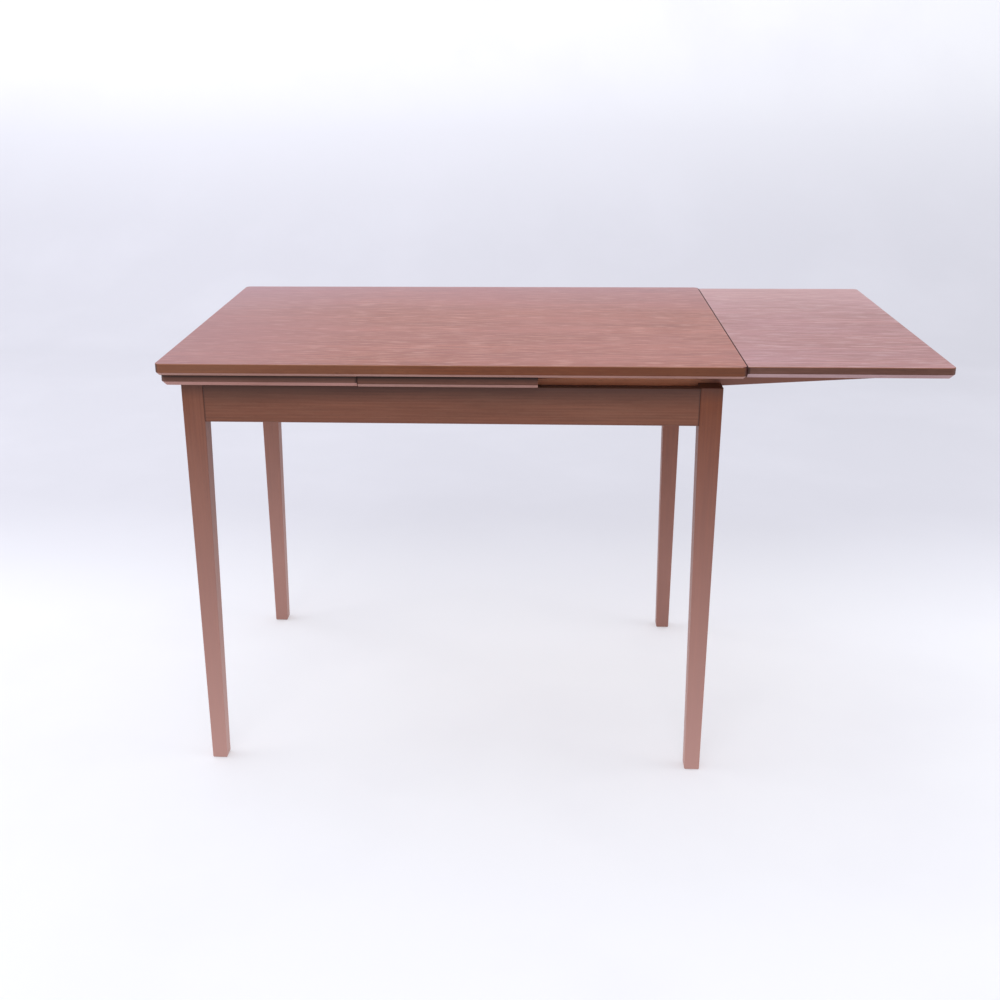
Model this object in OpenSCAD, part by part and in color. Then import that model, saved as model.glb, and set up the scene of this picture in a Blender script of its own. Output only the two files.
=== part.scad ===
// Draw-leaf dining table in teak: a loose main top lies on a fixed centre board, and two
// leaves on tapered lopers slide out from under it, climbing a shallow slope to its level.
// Shown with the right leaf drawn out and the left leaf stowed.

/* [Overall] */
// Height of the main top's surface above the floor
table_h = 735; // [700:1:780]
// Length of the main top, left to right
top_l = 928; // [880:1:1100]
// Depth of the main top, front to back
top_w = 666; // [600:1:900]

/* [Main top] */
// Thickness of the main top
top_t = 19; // [16:0.5:24]
// Radius of the main top's corners in plan
top_corner_r = 10; // [7:0.5:16]
// Chamfer along the main top's lower edge
top_chamfer = 4.5; // [2:0.5:6]
// Rounding along the upper edges of every board
arris_r = 1.5; // [0.5:0.25:3]
// Width of the solid lipping round the boards
lip_w = 14; // [12:1:20]
// Thickness of the veneer laid over board and lipping
veneer_t = 0.8; // [0.6:0.1:1.5]
// Glue line between two mitred lippings
glue_line = 0.1; // [0.05:0.05:0.3]

/* [Leaves] */
// Length of each leaf along its travel
leaf_l = 315; // [280:1:315]
// Thickness of each leaf
leaf_t = 18; // [14:0.5:18]
// How far the leaves stand back from the main top's front and back edges
leaf_inset = 8; // [4:1:20]
// Radius of a leaf's two outer corners in plan
leaf_corner_r = 10; // [8:0.5:16]
// Chamfer along a leaf's lower outer edges
leaf_chamfer = 7; // [3:0.5:7.5]
// How far a drawn leaf lies below the main top's surface
leaf_drop = 1; // [0.5:0.1:2]
// Gap between a drawn leaf and the main top's edge
seam_gap = 0.6; // [0.4:0.1:2]
// Gap between a stowed leaf and the centre board
leaf_gap = 1; // [0.5:0.1:3]
// Height of a stowed leaf's underside above the centre board's underside
leaf_float = 0.3; // [0.3:0.05:0.5]

/* [Centre board] */
// Length of the fixed centre board, left to right
board_l = 284; // [270:1:290]
// Thickness of the centre board
board_t = 18; // [18:0.5:20]
// Chamfer along the centre board's lower front and back edges
board_chamfer = 5.5; // [2:0.5:7]
// Thickness of the felt strips that the main top lies on
felt_t = 1; // [0.8:0.1:2]
// Width of each felt strip
felt_w = 14; // [8:1:20]
// Distance from the centre board's edge to a felt strip
felt_edge = 12; // [5:1:25]

/* [Lopers] */
// Width of each loper
loper_w = 22; // [18:1:24]
// Depth of a loper's bar
loper_h = 26; // [22:1:28]
// Step between the leaf's underside and the top of the loper's bar
loper_step = 1; // [0.8:0.1:2]
// Distance from a leaf's outer end to the loper's outer end
loper_end = 25; // [20:1:60]
// Play between a drawn leaf's stop and its bearer
stop_play = 6; // [3:0.5:10]
// Diameter of the stop dowels
stop_d = 10; // [8:1:12]
// How far a stop dowel stands below its loper
stop_h = 8; // [5:0.5:9]
// Distance from a stop dowel's axis to the loper's inner end
stop_end = 16; // [12:1:30]
// Side clearance of a loper in its notch
lane_gap = 1; // [0.5:0.1:2]
// Wood left between two neighbouring notches
lane_wall = 8; // [5:0.5:14]
// Running clearance under a loper
run_gap = 0.3; // [0.2:0.05:0.6]

/* [Frame] */
// Width of a leg's square section at the apron
leg_w = 35.5; // [32:0.5:48]
// Width of a leg's square section at the foot
leg_foot = 26; // [20:0.5:32]
// Distance from the main top's end to the legs' outer faces
leg_inset_x = 30.5; // [20:0.5:45]
// Distance from the main top's front edge to the legs' faces
leg_inset_y = 35.5; // [25:0.5:60]
// Chamfer round the bottom of each foot
foot_chamfer = 2.5; // [1:0.5:5]
// Flat planed on the long edges of legs, aprons and rails
eased_edge = 1.2; // [0.5:0.1:3]
// Height of the aprons and end rails
apron_h = 62; // [60:1:90]
// Thickness of the aprons and end rails
apron_t = 18; // [16:0.5:22]
// How far the centre board stands above the aprons
board_rise = 5; // [3:0.5:6]
// Distance of each cross bearer's centre from its end of the centre board
bearer_in = 42; // [30:1:60]
// Width of a cross bearer
bearer_w = 26; // [20:1:34]
// Height of a cross bearer
bearer_h = 63; // [62:1:66]
// Length of the aprons' tenons in the legs
tenon_l = 20; // [10:1:20]
// Thickness of the tenons
tenon_t = 9; // [6:0.5:10]
// Height of the shoulders above and below a tenon
tenon_shoulder = 9; // [6:1:12]
// Length of the bearers' tenons in the aprons
bearer_tenon_l = 9; // [6:0.5:12]
// Thickness of the corner braces
brace_t = 18; // [14:1:22]
// Height of the corner braces
brace_h = 40; // [30:1:40]
// Clearance round glued and seated pieces
seat_gap = 0.1; // [0.05:0.05:0.2]

/* [Guide pegs] */
// Diameter of the main top's two guide pegs
peg_d = 18; // [14:1:24]
// Length of a guide peg below the main top
peg_l = 58; // [45:1:62]
// Depth of a guide peg's seat in the main top
peg_seat = 10; // [6:0.5:12]
// Distance of each guide peg from the middle of the table
peg_y = 120; // [80:1:150]
// Clearance round a guide peg in the centre board
peg_gap = 0.6; // [0.3:0.1:1]

/* [Screws] */
// Diameter of the screws' shanks
screw_d = 4.5; // [4:0.1:5]
// Diameter of the screws' heads
screw_head_d = 9; // [8:0.5:10]
// Wood that each screw clamps under its head
screw_clamp = 7; // [5:0.5:8]
// Wood that each screw reaches into beyond the joint
screw_reach = 11; // [8:0.5:13]
// Distance of the outermost loper screws from the leaf's two ends
screw_margin = 42; // [35:1:60]
// Distance of the centre board's screws from the middle of the table
board_screw_y = 60; // [40:1:90]

/* [Hidden] */
$fn = 48;

// Heights, from the floor up
z_top = table_h - top_t;
z_board = z_top - felt_t - board_t;
z_frame = z_board - board_rise;
z_apron = z_frame - apron_h;
z_leaf = z_board + leaf_float;
z_bearer = z_board - bearer_h;

// Travel of a leaf, from stowed to drawn
x_leaf = board_l / 2 + leaf_gap;
draw_x = top_l / 2 + seam_gap - x_leaf;
draw_z = table_h - leaf_drop - leaf_t - z_leaf;
slope = draw_z / draw_x;
leaf_w = top_w - 2 * leaf_inset;
leaf_end = x_leaf + leaf_l;
bearer_x = board_l / 2 - bearer_in;

// Frame, measured to its outer and inner faces
frame_x = top_l / 2 - leg_inset_x;
frame_y = top_w / 2 - leg_inset_y;
post_x = frame_x - leg_w;
post_y = frame_y - leg_w;
rail_in = frame_x - apron_t;
apron_in = frame_y - apron_t;

// Lopers: the right pair runs beside the legs and the left pair inside it
notch_w = loper_w + 2 * lane_gap;
lane_right = post_y - lane_gap - loper_w / 2;
lane_left = lane_right - notch_w - lane_wall;
x_stop = bearer_x - bearer_w / 2 - stop_play - stop_d / 2 - draw_x;
x_tail = x_stop - stop_end;
x_tip = leaf_end - loper_end;
screw_xs = [x_leaf + screw_margin, (x_leaf + leaf_end) / 2, leaf_end - screw_margin - loper_end / 2];

// The origin lies on the floor below the middle of the table as it stands, one leaf drawn
centre_x = -(leaf_end + draw_x - top_l / 2) / 2;

TOP_TEAK = "#a8756a";
EDGE_TEAK = "#7d4a35";
FRAME_TEAK = "#8a5d48";
BEECH = "#c9a37c";
STEEL = "#9a9a9c";
FELT = "#3f5a44";

// Height of the upper and the lower face of a stowed loper's bar at x
function bar_top(x) = z_leaf - loper_step + (x - x_leaf) * slope;
function bar_low(x) = bar_top(x) - loper_h;

// Right-hand half of a board's edge: chamfer below, small round above
function edge_curve(r, t, chamfer) = concat(
    [[r - chamfer, 0], [r, chamfer]],
    [for (a = [0:30:90]) [r - arris_r + arris_r * cos(a), t - arris_r + arris_r * sin(a)]]);

// Whole outline of a board's cross-section, w wide
function board_outline(w, t, chamfer) =
    let (half = edge_curve(w / 2, t, chamfer), n = len(half))
    concat(half, [for (i = [n - 1:-1:0]) [-half[i][0], half[i][1]]]);

// Moves what is drawn about the table's middle to the part's frame
module placed() {
    translate([centre_x, 0, 0]) children();
}

// A right-hand leaf piece, drawn out
module drawn() {
    placed() translate([draw_x, 0, draw_z]) children();
}

// The same piece for the left leaf, stowed
module stowed() {
    placed() mirror([1, 0, 0]) children();
}

// Draws its children at the front and at the back, d from the middle
module front_and_back(d) {
    for (side = [-1, 1]) translate([0, side * d, 0]) children();
}

// A round corner of a board with its edge profile
module corner_post(r, t, chamfer) {
    rotate_extrude() polygon(concat([[0, 0]], edge_curve(r, t, chamfer), [[0, t]]));
}

// A prism along X with a board's cross-section
module board_bar(l, w, t, chamfer) {
    rotate([90, 0, 90]) linear_extrude(l) polygon(board_outline(w, t, chamfer));
}

// A board's end from x0 to x1: profiled edge and two round corners at x1, square at x0
module board_end(x0, x1, w, t, r, chamfer) {
    edge = [for (p = edge_curve(r, t, chamfer)) [x1 - r + p[0], p[1]]];
    translate([x0, 0, 0]) board_bar(x1 - r - x0, w, t, chamfer);
    rotate([90, 0, 0]) linear_extrude(w - 2 * r, center = true) polygon(concat([[x0, 0]], edge, [[x0, t]]));
    front_and_back(w / 2 - r) translate([x1 - r, 0, 0]) corner_post(r, t, chamfer);
}

// The upper veneer of the board that its child draws, the board's upper face being at z
module veneer(z) {
    intersection() {
        children();
        translate([-top_l, -top_w, z - veneer_t]) cube([2 * top_l, 2 * top_w, 2 * veneer_t]);
    }
}

// The four mitred strips of a lipping t thick, cut from the board that its child draws
module mitred_lipping(x0, x1, w, z, t) {
    g = glue_line / 2;
    y = w / 2;
    in = lip_w;
    strips = [
        [[x0 + g, -y], [x1 - g, -y], [x1 - in - g, in - y], [x0 + in + g, in - y]],
        [[x0 + g, y], [x1 - g, y], [x1 - in - g, y - in], [x0 + in + g, y - in]],
        [[x0, g - y], [x0, y - g], [x0 + in, y - in - g], [x0 + in, in + g - y]],
        [[x1, g - y], [x1, y - g], [x1 - in, y - in - g], [x1 - in, in + g - y]]];
    for (strip = strips) {
        intersection() {
            children();
            translate([0, 0, z]) linear_extrude(t) polygon(strip);
        }
    }
}

// Countersunk wood screw: the joint face is at z = 0 and the head below it
module screw() {
    head_z = -screw_clamp;
    cone_h = (screw_head_d - screw_d) / 2;
    rotate_extrude() polygon([
        [0, head_z], [screw_head_d / 2, head_z], [screw_d / 2, head_z + cone_h],
        [screw_d / 2, screw_reach - screw_d], [0, screw_reach]]);
}

// Room for that screw: countersink, shank and a counterbore of the given depth behind the head
module screw_room(depth) {
    r = screw_d / 2 + seat_gap;
    r_head = screw_head_d / 2 + seat_gap;
    head_z = -screw_clamp;
    rotate_extrude() polygon([
        [0, head_z - depth], [r_head, head_z - depth], [r_head, head_z],
        [r, head_z + r_head - r], [r, screw_reach + seat_gap], [0, screw_reach + seat_gap]]);
}

// ---- Main top ----

module top_blank() {
    translate([0, 0, z_top]) for (side = [0, 1]) mirror([side, 0, 0])
        board_end(0, top_l / 2, top_w, top_t, top_corner_r, top_chamfer);
}

module main_top() {
    color(TOP_TEAK) placed() difference() {
        translate([lip_w - top_l / 2, lip_w - top_w / 2, z_top])
            cube([top_l - 2 * lip_w, top_w - 2 * lip_w, top_t - veneer_t]);
        front_and_back(peg_y) translate([0, 0, z_top - 1])
            cylinder(d = peg_d + 2 * seat_gap, h = peg_seat + 1);
    }
}

module main_top_lipping() {
    color(EDGE_TEAK) placed()
        mitred_lipping(-top_l / 2, top_l / 2, top_w, z_top, top_t - veneer_t) top_blank();
}

module main_top_veneer() {
    color(TOP_TEAK) placed() veneer(table_h) top_blank();
}

// Turned pegs, glued into the main top, that drop through the centre board
module guide_pegs() {
    r = peg_d / 2;
    nose = r / 3;
    color(BEECH) placed() front_and_back(peg_y) translate([0, 0, z_top - peg_l]) rotate_extrude()
        polygon([[0, 0], [r - nose, 0], [r, nose], [r, peg_l + peg_seat - seat_gap],
            [0, peg_l + peg_seat - seat_gap]]);
}

// ---- Leaves, drawn as the right-hand leaf in its stowed place ----

module leaf_blank() {
    translate([0, 0, z_leaf]) board_end(x_leaf, leaf_end, leaf_w, leaf_t, leaf_corner_r, leaf_chamfer);
}

module leaf_board(lane) {
    difference() {
        translate([x_leaf + lip_w, lip_w - leaf_w / 2, z_leaf])
            cube([leaf_l - 2 * lip_w, leaf_w - 2 * lip_w, leaf_t - veneer_t]);
        loper_screws_at(lane) screw_room(0);
    }
}

module leaf_lipping() {
    mitred_lipping(x_leaf, leaf_end, leaf_w, z_leaf, leaf_t - veneer_t) leaf_blank();
}

module leaf_veneer() {
    veneer(z_leaf + leaf_t) leaf_blank();
}

// Draws its child at every screw that holds a leaf's two lopers
module loper_screws_at(lane) {
    front_and_back(lane) for (x = screw_xs) translate([x, 0, z_leaf]) children();
}

// Tapered under the leaf, and a straight sloping bar from the leaf's inner edge to its tail
module loper() {
    profile = [
        [x_tail, bar_low(x_tail)], [x_tip, bar_low(x_tip)], [x_tip, z_leaf],
        [x_leaf, z_leaf], [x_leaf, bar_top(x_leaf)], [x_tail, bar_top(x_tail)]];
    difference() {
        rotate([90, 0, 0]) linear_extrude(loper_w, center = true) polygon(profile);
        for (x = screw_xs) translate([x, 0, z_leaf]) screw_room(loper_h);
        translate([x_stop, 0, bar_low(x_stop) - stop_h])
            cylinder(d = stop_d + 2 * seat_gap, h = loper_h + 2 * stop_h);
    }
}

// Dowels through the lopers' tails, which meet a bearer when the leaf is fully drawn
module stop_dowels(lane) {
    z = bar_low(x_stop) - stop_h;
    front_and_back(lane) translate([x_stop, 0, z]) cylinder(d = stop_d, h = stop_h + loper_h - 1);
}

module left_leaf() { color(TOP_TEAK) stowed() leaf_board(lane_left); }
module left_leaf_lipping() { color(EDGE_TEAK) stowed() leaf_lipping(); }
module left_leaf_veneer() { color(TOP_TEAK) stowed() leaf_veneer(); }
module left_loper_front() { color(EDGE_TEAK) stowed() translate([0, -lane_left, 0]) loper(); }
module left_loper_back() { color(EDGE_TEAK) stowed() translate([0, lane_left, 0]) loper(); }
module left_leaf_screws() { color(STEEL) stowed() loper_screws_at(lane_left) screw(); }
module left_stop_dowels() { color(BEECH) stowed() stop_dowels(lane_left); }

module right_leaf() { color(TOP_TEAK) drawn() leaf_board(lane_right); }
module right_leaf_lipping() { color(EDGE_TEAK) drawn() leaf_lipping(); }
module right_leaf_veneer() { color(TOP_TEAK) drawn() leaf_veneer(); }
module right_loper_front() { color(EDGE_TEAK) drawn() translate([0, -lane_right, 0]) loper(); }
module right_loper_back() { color(EDGE_TEAK) drawn() translate([0, lane_right, 0]) loper(); }
module right_leaf_screws() { color(STEEL) drawn() loper_screws_at(lane_right) screw(); }
module right_stop_dowels() { color(BEECH) drawn() stop_dowels(lane_right); }

// ---- Centre board ----

module board_blank() {
    translate([-board_l / 2, 0, z_board]) board_bar(board_l, leaf_w, board_t, board_chamfer);
}

module board_screws_at() {
    front_and_back(board_screw_y) for (sx = [-1, 1]) translate([sx * bearer_x, 0, z_board]) children();
}

module centre_board() {
    color(TOP_TEAK) placed() difference() {
        translate([-board_l / 2, lip_w - leaf_w / 2, z_board])
            cube([board_l, leaf_w - 2 * lip_w, board_t]);
        front_and_back(peg_y) translate([0, 0, z_board - 1])
            cylinder(d = peg_d + 2 * peg_gap, h = board_t + 2);
        board_screws_at() screw_room(0);
    }
}

module centre_board_lipping() {
    color(EDGE_TEAK) placed() intersection() {
        board_blank();
        front_and_back(leaf_w / 2 - lip_w / 2) translate([-board_l / 2, -lip_w / 2, z_board])
            cube([board_l, lip_w, board_t]);
    }
}

module centre_board_felts() {
    color(FELT) placed() for (sx = [-1, 1])
        translate([sx * (board_l / 2 - felt_edge - felt_w / 2) - felt_w / 2, lip_w - leaf_w / 2, z_board + board_t])
            cube([felt_w, leaf_w - 2 * lip_w, felt_t]);
}

module centre_board_screws() {
    color(STEEL) placed() board_screws_at() screw();
}

// ---- Bearers ----

// One cross bearer at +X or -X; near lopers are those of its own side's leaf
module bearer(side) {
    near = side > 0 ? lane_right : lane_left;
    far = side > 0 ? lane_left : lane_right;
    x0 = bearer_x - bearer_w / 2;
    z_near = bar_low(x0) - run_gap;
    z_far = bar_low(-bearer_x - bearer_w / 2 - stop_d / 2) - stop_h - run_gap;
    tenon_h = bearer_h - board_rise - 2 * tenon_shoulder;
    color(BEECH) placed() difference() {
        union() {
            translate([side * bearer_x - bearer_w / 2, -apron_in, z_bearer])
                cube([bearer_w, 2 * apron_in, bearer_h]);
            translate([side * bearer_x, 0, z_bearer + tenon_shoulder + tenon_h / 2])
                cube([bearer_w - 2 * tenon_shoulder + 2, 2 * (apron_in + bearer_tenon_l), tenon_h], center = true);
        }
        front_and_back(near) notch(side * bearer_x, z_near);
        front_and_back(far) notch(side * bearer_x, z_far);
        board_screws_at() screw_room(bearer_h);
    }
}

// A notch for one loper, open at the top, from the height z up
module notch(x, z) {
    translate([x - bearer_w / 2 - 1, -notch_w / 2, z]) cube([bearer_w + 2, notch_w, z_board - z + 1]);
}

module bearer_left() { bearer(-1); }
module bearer_right() { bearer(1); }

// ---- Aprons and end rails ----

tenon_z = z_apron + tenon_shoulder;
tenon_h = apron_h - 2 * tenon_shoulder;

// Room in an apron for a bearer's tenon
module bearer_mortises() {
    h = bearer_h - board_rise - 2 * tenon_shoulder + 2 * seat_gap;
    w = bearer_w - 2 * tenon_shoulder + 2 + 2 * seat_gap;
    y = apron_in + (bearer_tenon_l + seat_gap) / 2 - 0.5;
    for (sx = [-1, 1]) {
        translate([sx * bearer_x, y, z_bearer + tenon_shoulder - seat_gap + h / 2])
            cube([w, bearer_tenon_l + seat_gap + 1, h], center = true);
    }
}

// A board's cross-section, apron_t by apron_h, with all four edges eased
module eased_section() {
    e = eased_edge;
    polygon([
        [e, 0], [apron_t - e, 0], [apron_t, e], [apron_t, apron_h - e],
        [apron_t - e, apron_h], [e, apron_h], [0, apron_h - e], [0, e]]);
}

// An apron at the back; the front one is its mirror image
module apron() {
    difference() {
        union() {
            translate([-post_x, apron_in, z_apron]) rotate([90, 0, 90]) linear_extrude(2 * post_x)
                eased_section();
            translate([-post_x - tenon_l, apron_in + (apron_t - tenon_t) / 2, tenon_z])
                cube([2 * (post_x + tenon_l), tenon_t, tenon_h]);
        }
        bearer_mortises();
        corners() brace_screws_at() screw_room(0);
    }
}

module apron_front() { color(FRAME_TEAK) placed() mirror([0, 1, 0]) apron(); }
module apron_back() { color(FRAME_TEAK) placed() apron(); }

// An end rail at +X with open notches for its leaf's two lopers
module end_rail(lane) {
    z = bar_low(rail_in) - run_gap;
    y_out = lane + notch_w / 2 > post_y - lane_wall ? post_y + 1 : lane + notch_w / 2;
    difference() {
        union() {
            translate([rail_in, post_y, z_apron]) rotate([90, 0, 0]) linear_extrude(2 * post_y)
                eased_section();
            translate([rail_in + (apron_t - tenon_t) / 2, -post_y - tenon_l, tenon_z])
                cube([tenon_t, 2 * (post_y + tenon_l), tenon_h]);
        }
        for (side = [0, 1]) mirror([0, side, 0]) translate([rail_in - 1, lane - notch_w / 2, z])
            cube([apron_t + 2, y_out - lane + notch_w / 2, z_frame - z + 1]);
        corners() brace_screws_at() screw_room(0);
    }
}

module end_rail_left() { color(FRAME_TEAK) placed() mirror([1, 0, 0]) end_rail(lane_left); }
module end_rail_right() { color(FRAME_TEAK) placed() end_rail(lane_right); }

// ---- Legs ----

// Sides of a leg's views, d measured inwards from its upright outer face: square on to a face
function face_view() = [
    [foot_chamfer, 0], [leg_foot - foot_chamfer, 0], [leg_foot, foot_chamfer],
    [leg_w, z_apron], [leg_w, z_frame], [0, z_frame], [0, foot_chamfer]];

// seen along the diagonal through the outer corner, from which d runs
function corner_view() = let (e = eased_edge, k = 1 / sqrt(2)) [
    [e * k, 0], [(2 * leg_foot - e) * k, 0], [(2 * leg_w - e) * k, z_apron],
    [(2 * leg_w - e) * k, z_frame], [e * k, z_frame]];

// and seen along the other diagonal, d to both sides of the outer corner
function side_view() = let (e = eased_edge, k = 1 / sqrt(2)) [
    [(leg_foot - e) * k, 0], [(leg_w - e) * k, z_apron], [(leg_w - e) * k, z_frame],
    [(e - leg_w) * k, z_frame], [(e - leg_w) * k, z_apron], [(e - leg_foot) * k, 0]];

// A prism that shows one of those views when seen at the given angle about the outer corner
module leg_prism(view, angle) {
    translate([frame_x, frame_y, 0]) rotate([90, 0, angle])
        linear_extrude(3 * leg_w, center = true) polygon(view);
}

// The leg at +X +Y, tapered on its two inner faces, with mortises for an apron and an end rail
module leg() {
    c = seat_gap;
    tenon_off = (apron_t - tenon_t) / 2;
    difference() {
        intersection() {
            leg_prism(face_view(), 180);
            leg_prism(face_view(), -90);
            leg_prism(corner_view(), 225);
            leg_prism(side_view(), 135);
        }
        translate([post_x - 1, apron_in + tenon_off - c, tenon_z - c])
            cube([tenon_l + 1 + c, tenon_t + 2 * c, tenon_h + 2 * c]);
        translate([rail_in + tenon_off - c, post_y - 1, tenon_z - c])
            cube([tenon_t + 2 * c, tenon_l + 1 + c, tenon_h + 2 * c]);
    }
}

// A leg in the corner that the signs of x and y give
module leg_at(sx, sy) {
    color(FRAME_TEAK) placed() mirror([sx < 0 ? 1 : 0, 0, 0]) mirror([0, sy < 0 ? 1 : 0, 0]) leg();
}

module leg_front_left() { leg_at(-1, -1); }
module leg_front_right() { leg_at(1, -1); }
module leg_back_left() { leg_at(-1, 1); }
module leg_back_right() { leg_at(1, 1); }

// ---- Corner braces ----

brace_sum = post_x + post_y - run_gap;
brace_in = brace_sum - brace_t * sqrt(2);
brace_z = z_apron + 4;

// Draws its children in all four corners
module corners() {
    for (sx = [0, 1]) for (sy = [0, 1]) mirror([sx, 0, 0]) mirror([0, sy, 0]) children();
}

// The two screws of the brace at +X +Y: one into the apron, one into the end rail
module brace_screws_at() {
    x = (brace_in + brace_sum) / 2 - apron_in;
    y = (brace_in + brace_sum) / 2 - rail_in;
    z = brace_z + brace_h / 2;
    translate([x, apron_in, z]) rotate([-90, 0, 0]) children();
    translate([rail_in, y, z]) rotate([0, 90, 0]) children();
}

module corner_braces() {
    color(BEECH) placed() corners() difference() {
        translate([0, 0, brace_z]) linear_extrude(brace_h) polygon([
            [brace_sum - apron_in, apron_in], [rail_in, brace_sum - rail_in],
            [rail_in, brace_in - rail_in], [brace_in - apron_in, apron_in]]);
        brace_screws_at() screw_room(brace_t * 2);
    }
}

module corner_brace_screws() {
    color(STEEL) placed() corners() brace_screws_at() screw();
}

main_top();
main_top_lipping();
main_top_veneer();
guide_pegs();
left_leaf();
left_leaf_lipping();
left_leaf_veneer();
left_loper_front();
left_loper_back();
left_leaf_screws();
left_stop_dowels();
right_leaf();
right_leaf_lipping();
right_leaf_veneer();
right_loper_front();
right_loper_back();
right_leaf_screws();
right_stop_dowels();
centre_board();
centre_board_lipping();
centre_board_felts();
centre_board_screws();
bearer_left();
bearer_right();
apron_front();
apron_back();
end_rail_left();
end_rail_right();
leg_front_left();
leg_front_right();
leg_back_left();
leg_back_right();
corner_braces();
corner_brace_screws();
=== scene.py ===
"""Dresses the draw-leaf teak table: boards with veneer and lipping, lopers, frame and studio.

The table's own sizes are in millimetres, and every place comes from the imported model. A fade's
places and all of the studio are in metres.
"""

from __future__ import annotations

import logging
import math
from collections.abc import Callable, Iterator
from contextlib import contextmanager
from dataclasses import dataclass, field, replace
from enum import Enum, IntEnum

import bmesh
import bpy
from mathutils import Euler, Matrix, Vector

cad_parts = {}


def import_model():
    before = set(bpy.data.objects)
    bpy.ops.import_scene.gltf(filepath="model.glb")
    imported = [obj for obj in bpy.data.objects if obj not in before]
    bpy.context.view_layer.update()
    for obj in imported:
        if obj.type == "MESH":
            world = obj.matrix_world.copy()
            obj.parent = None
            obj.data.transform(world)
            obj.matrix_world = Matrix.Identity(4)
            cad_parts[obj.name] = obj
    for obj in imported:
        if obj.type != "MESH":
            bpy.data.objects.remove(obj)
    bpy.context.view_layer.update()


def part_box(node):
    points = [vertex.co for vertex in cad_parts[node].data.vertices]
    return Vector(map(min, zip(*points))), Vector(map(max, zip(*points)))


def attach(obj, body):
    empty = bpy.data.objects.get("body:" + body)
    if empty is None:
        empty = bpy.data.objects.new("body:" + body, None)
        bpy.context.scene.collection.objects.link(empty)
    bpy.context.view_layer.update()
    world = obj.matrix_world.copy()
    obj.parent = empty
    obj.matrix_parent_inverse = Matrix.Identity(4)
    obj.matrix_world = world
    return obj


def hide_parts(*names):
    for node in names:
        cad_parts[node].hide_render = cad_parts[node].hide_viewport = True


LOG = logging.getLogger("draw_leaf_table")
MM = 0.001
NEAR = 0.02 * MM
# How near two points are merged, and how flat triangles lie that make one face.
MERGE = 0.01 * MM
FLATNESS = math.radians(0.5)
ORIGIN = Vector((0, 0, 0))
UP = Vector((0, 0, 1))
# How far a face's normal points along an axis when the face slopes, looks that way, is nearly flat, is flat.
SLOPING = 0.5
FACING = 0.9
NEARLY_FLAT = 0.95
FLAT = 0.99
# The distance at which a wave texture of scale one repeats.
WAVE_LENGTH = math.tau / 20.0

EdgeTest = Callable[[Vector, Vector], bool]
FaceTest = Callable[[Vector, Vector], bool]
Tree = bpy.types.NodeTree
Socket = bpy.types.NodeSocket
Material = bpy.types.Material


# ---------------------------------------------------------------- finishes


class Grain(Enum):
    """The direction that a piece of wood's fibres run in."""

    LENGTHWISE = 0
    CROSSWISE = 1
    UPRIGHT = 2

    def cell(self, along: float, across: float) -> tuple[float, float, float]:
        """Gives the scale that makes a pattern's cells this long and wide.

        Args:
            along: A cell's length along the fibres, in millimetres.
            across: Its width, in millimetres.

        Returns:
            The scale along each axis.
        """
        scale = [1.0 / (across * MM)] * 3
        scale[self.value] = 1.0 / (along * MM)
        return (scale[0], scale[1], scale[2])

    def log(self, stretch: float) -> tuple[float, float, float]:
        """Gives the scale that draws a log's rings out along its fibres.

        Args:
            stretch: The scale along the fibres.

        Returns:
            The scale along each axis.
        """
        scale = [1.0] * 3
        scale[self.value] = stretch
        return (scale[0], scale[1], scale[2])


def linear(colour: str) -> tuple[float, float, float, float]:
    """Turns an sRGB hex colour to linear RGBA.

    Args:
        colour: The colour as "#rrggbb".

    Returns:
        The linear red, green and blue, and an alpha of one.
    """
    values = [int(colour[i : i + 2], 16) / 255.0 for i in (1, 3, 5)]
    red, green, blue = [v / 12.92 if v <= 0.04045 else ((v + 0.055) / 1.055) ** 2.4 for v in values]
    return (red, green, blue, 1.0)


def add_node(
    tree: Tree,
    kind: str,
    inputs: dict[int | str, object] | None = None,
    **settings: object,
) -> bpy.types.Node:
    """Adds a node with its settings, its input values and its links.

    Args:
        tree: The node tree of a material or of the world.
        kind: The node's type, without its "ShaderNode" in front.
        inputs: What each input holds: a value, or the socket that is linked to it.
        **settings: The node's own properties.

    Returns:
        The new node.
    """
    node = tree.nodes.new("ShaderNode" + kind)
    for name, value in settings.items():
        setattr(node, name, value)
    for key, value in (inputs or {}).items():
        if isinstance(value, Socket):
            tree.links.new(value, node.inputs[key])
        else:
            node.inputs[key].default_value = value
    return node


def new_material(name: str) -> tuple[Material, Tree, Socket]:
    """Starts a material with nothing in it but the place on the piece.

    Args:
        name: The material's name.

    Returns:
        The material, its node tree, and the socket that gives the place.
    """
    material = bpy.data.materials.new(name)
    material.use_nodes = True
    tree = material.node_tree
    tree.nodes.clear()
    return material, tree, add_node(tree, "TexCoord").outputs["Object"]


@dataclass(frozen=True)
class Layer:
    """One pattern in a wood: the size of its cells, and how strongly it shows."""

    along: float
    across: float
    low: float
    high: float
    strength: float
    detail: float = 3.0
    grit: float = 0.55

    def draw(self, tree: Tree, place: Socket, grain: Grain) -> Socket:
        """Adds the pattern's nodes.

        Args:
            tree: The material's node tree.
            place: The socket that gives the place on the piece.
            grain: The direction of the fibres.

        Returns:
            The socket with the pattern, from zero to its strength.
        """
        cell = grain.cell(self.along, self.across)
        scaled = add_node(tree, "Mapping", {"Vector": place, "Scale": cell}, vector_type="POINT")
        noise = add_node(
            tree,
            "TexNoise",
            {"Vector": scaled.outputs[0], "Scale": 1.0, "Detail": self.detail, "Roughness": self.grit},
        )
        shown = add_node(
            tree,
            "MapRange",
            {0: noise.outputs[0], 1: self.low, 2: self.high, 3: 0.0, 4: self.strength},
            interpolation_type="SMOOTHSTEP",
        )
        return shown.outputs[0]


class Axis(IntEnum):
    """A direction of the table, by its number in a place."""

    LENGTH = 0
    WIDTH = 1
    HEIGHT = 2


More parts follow.
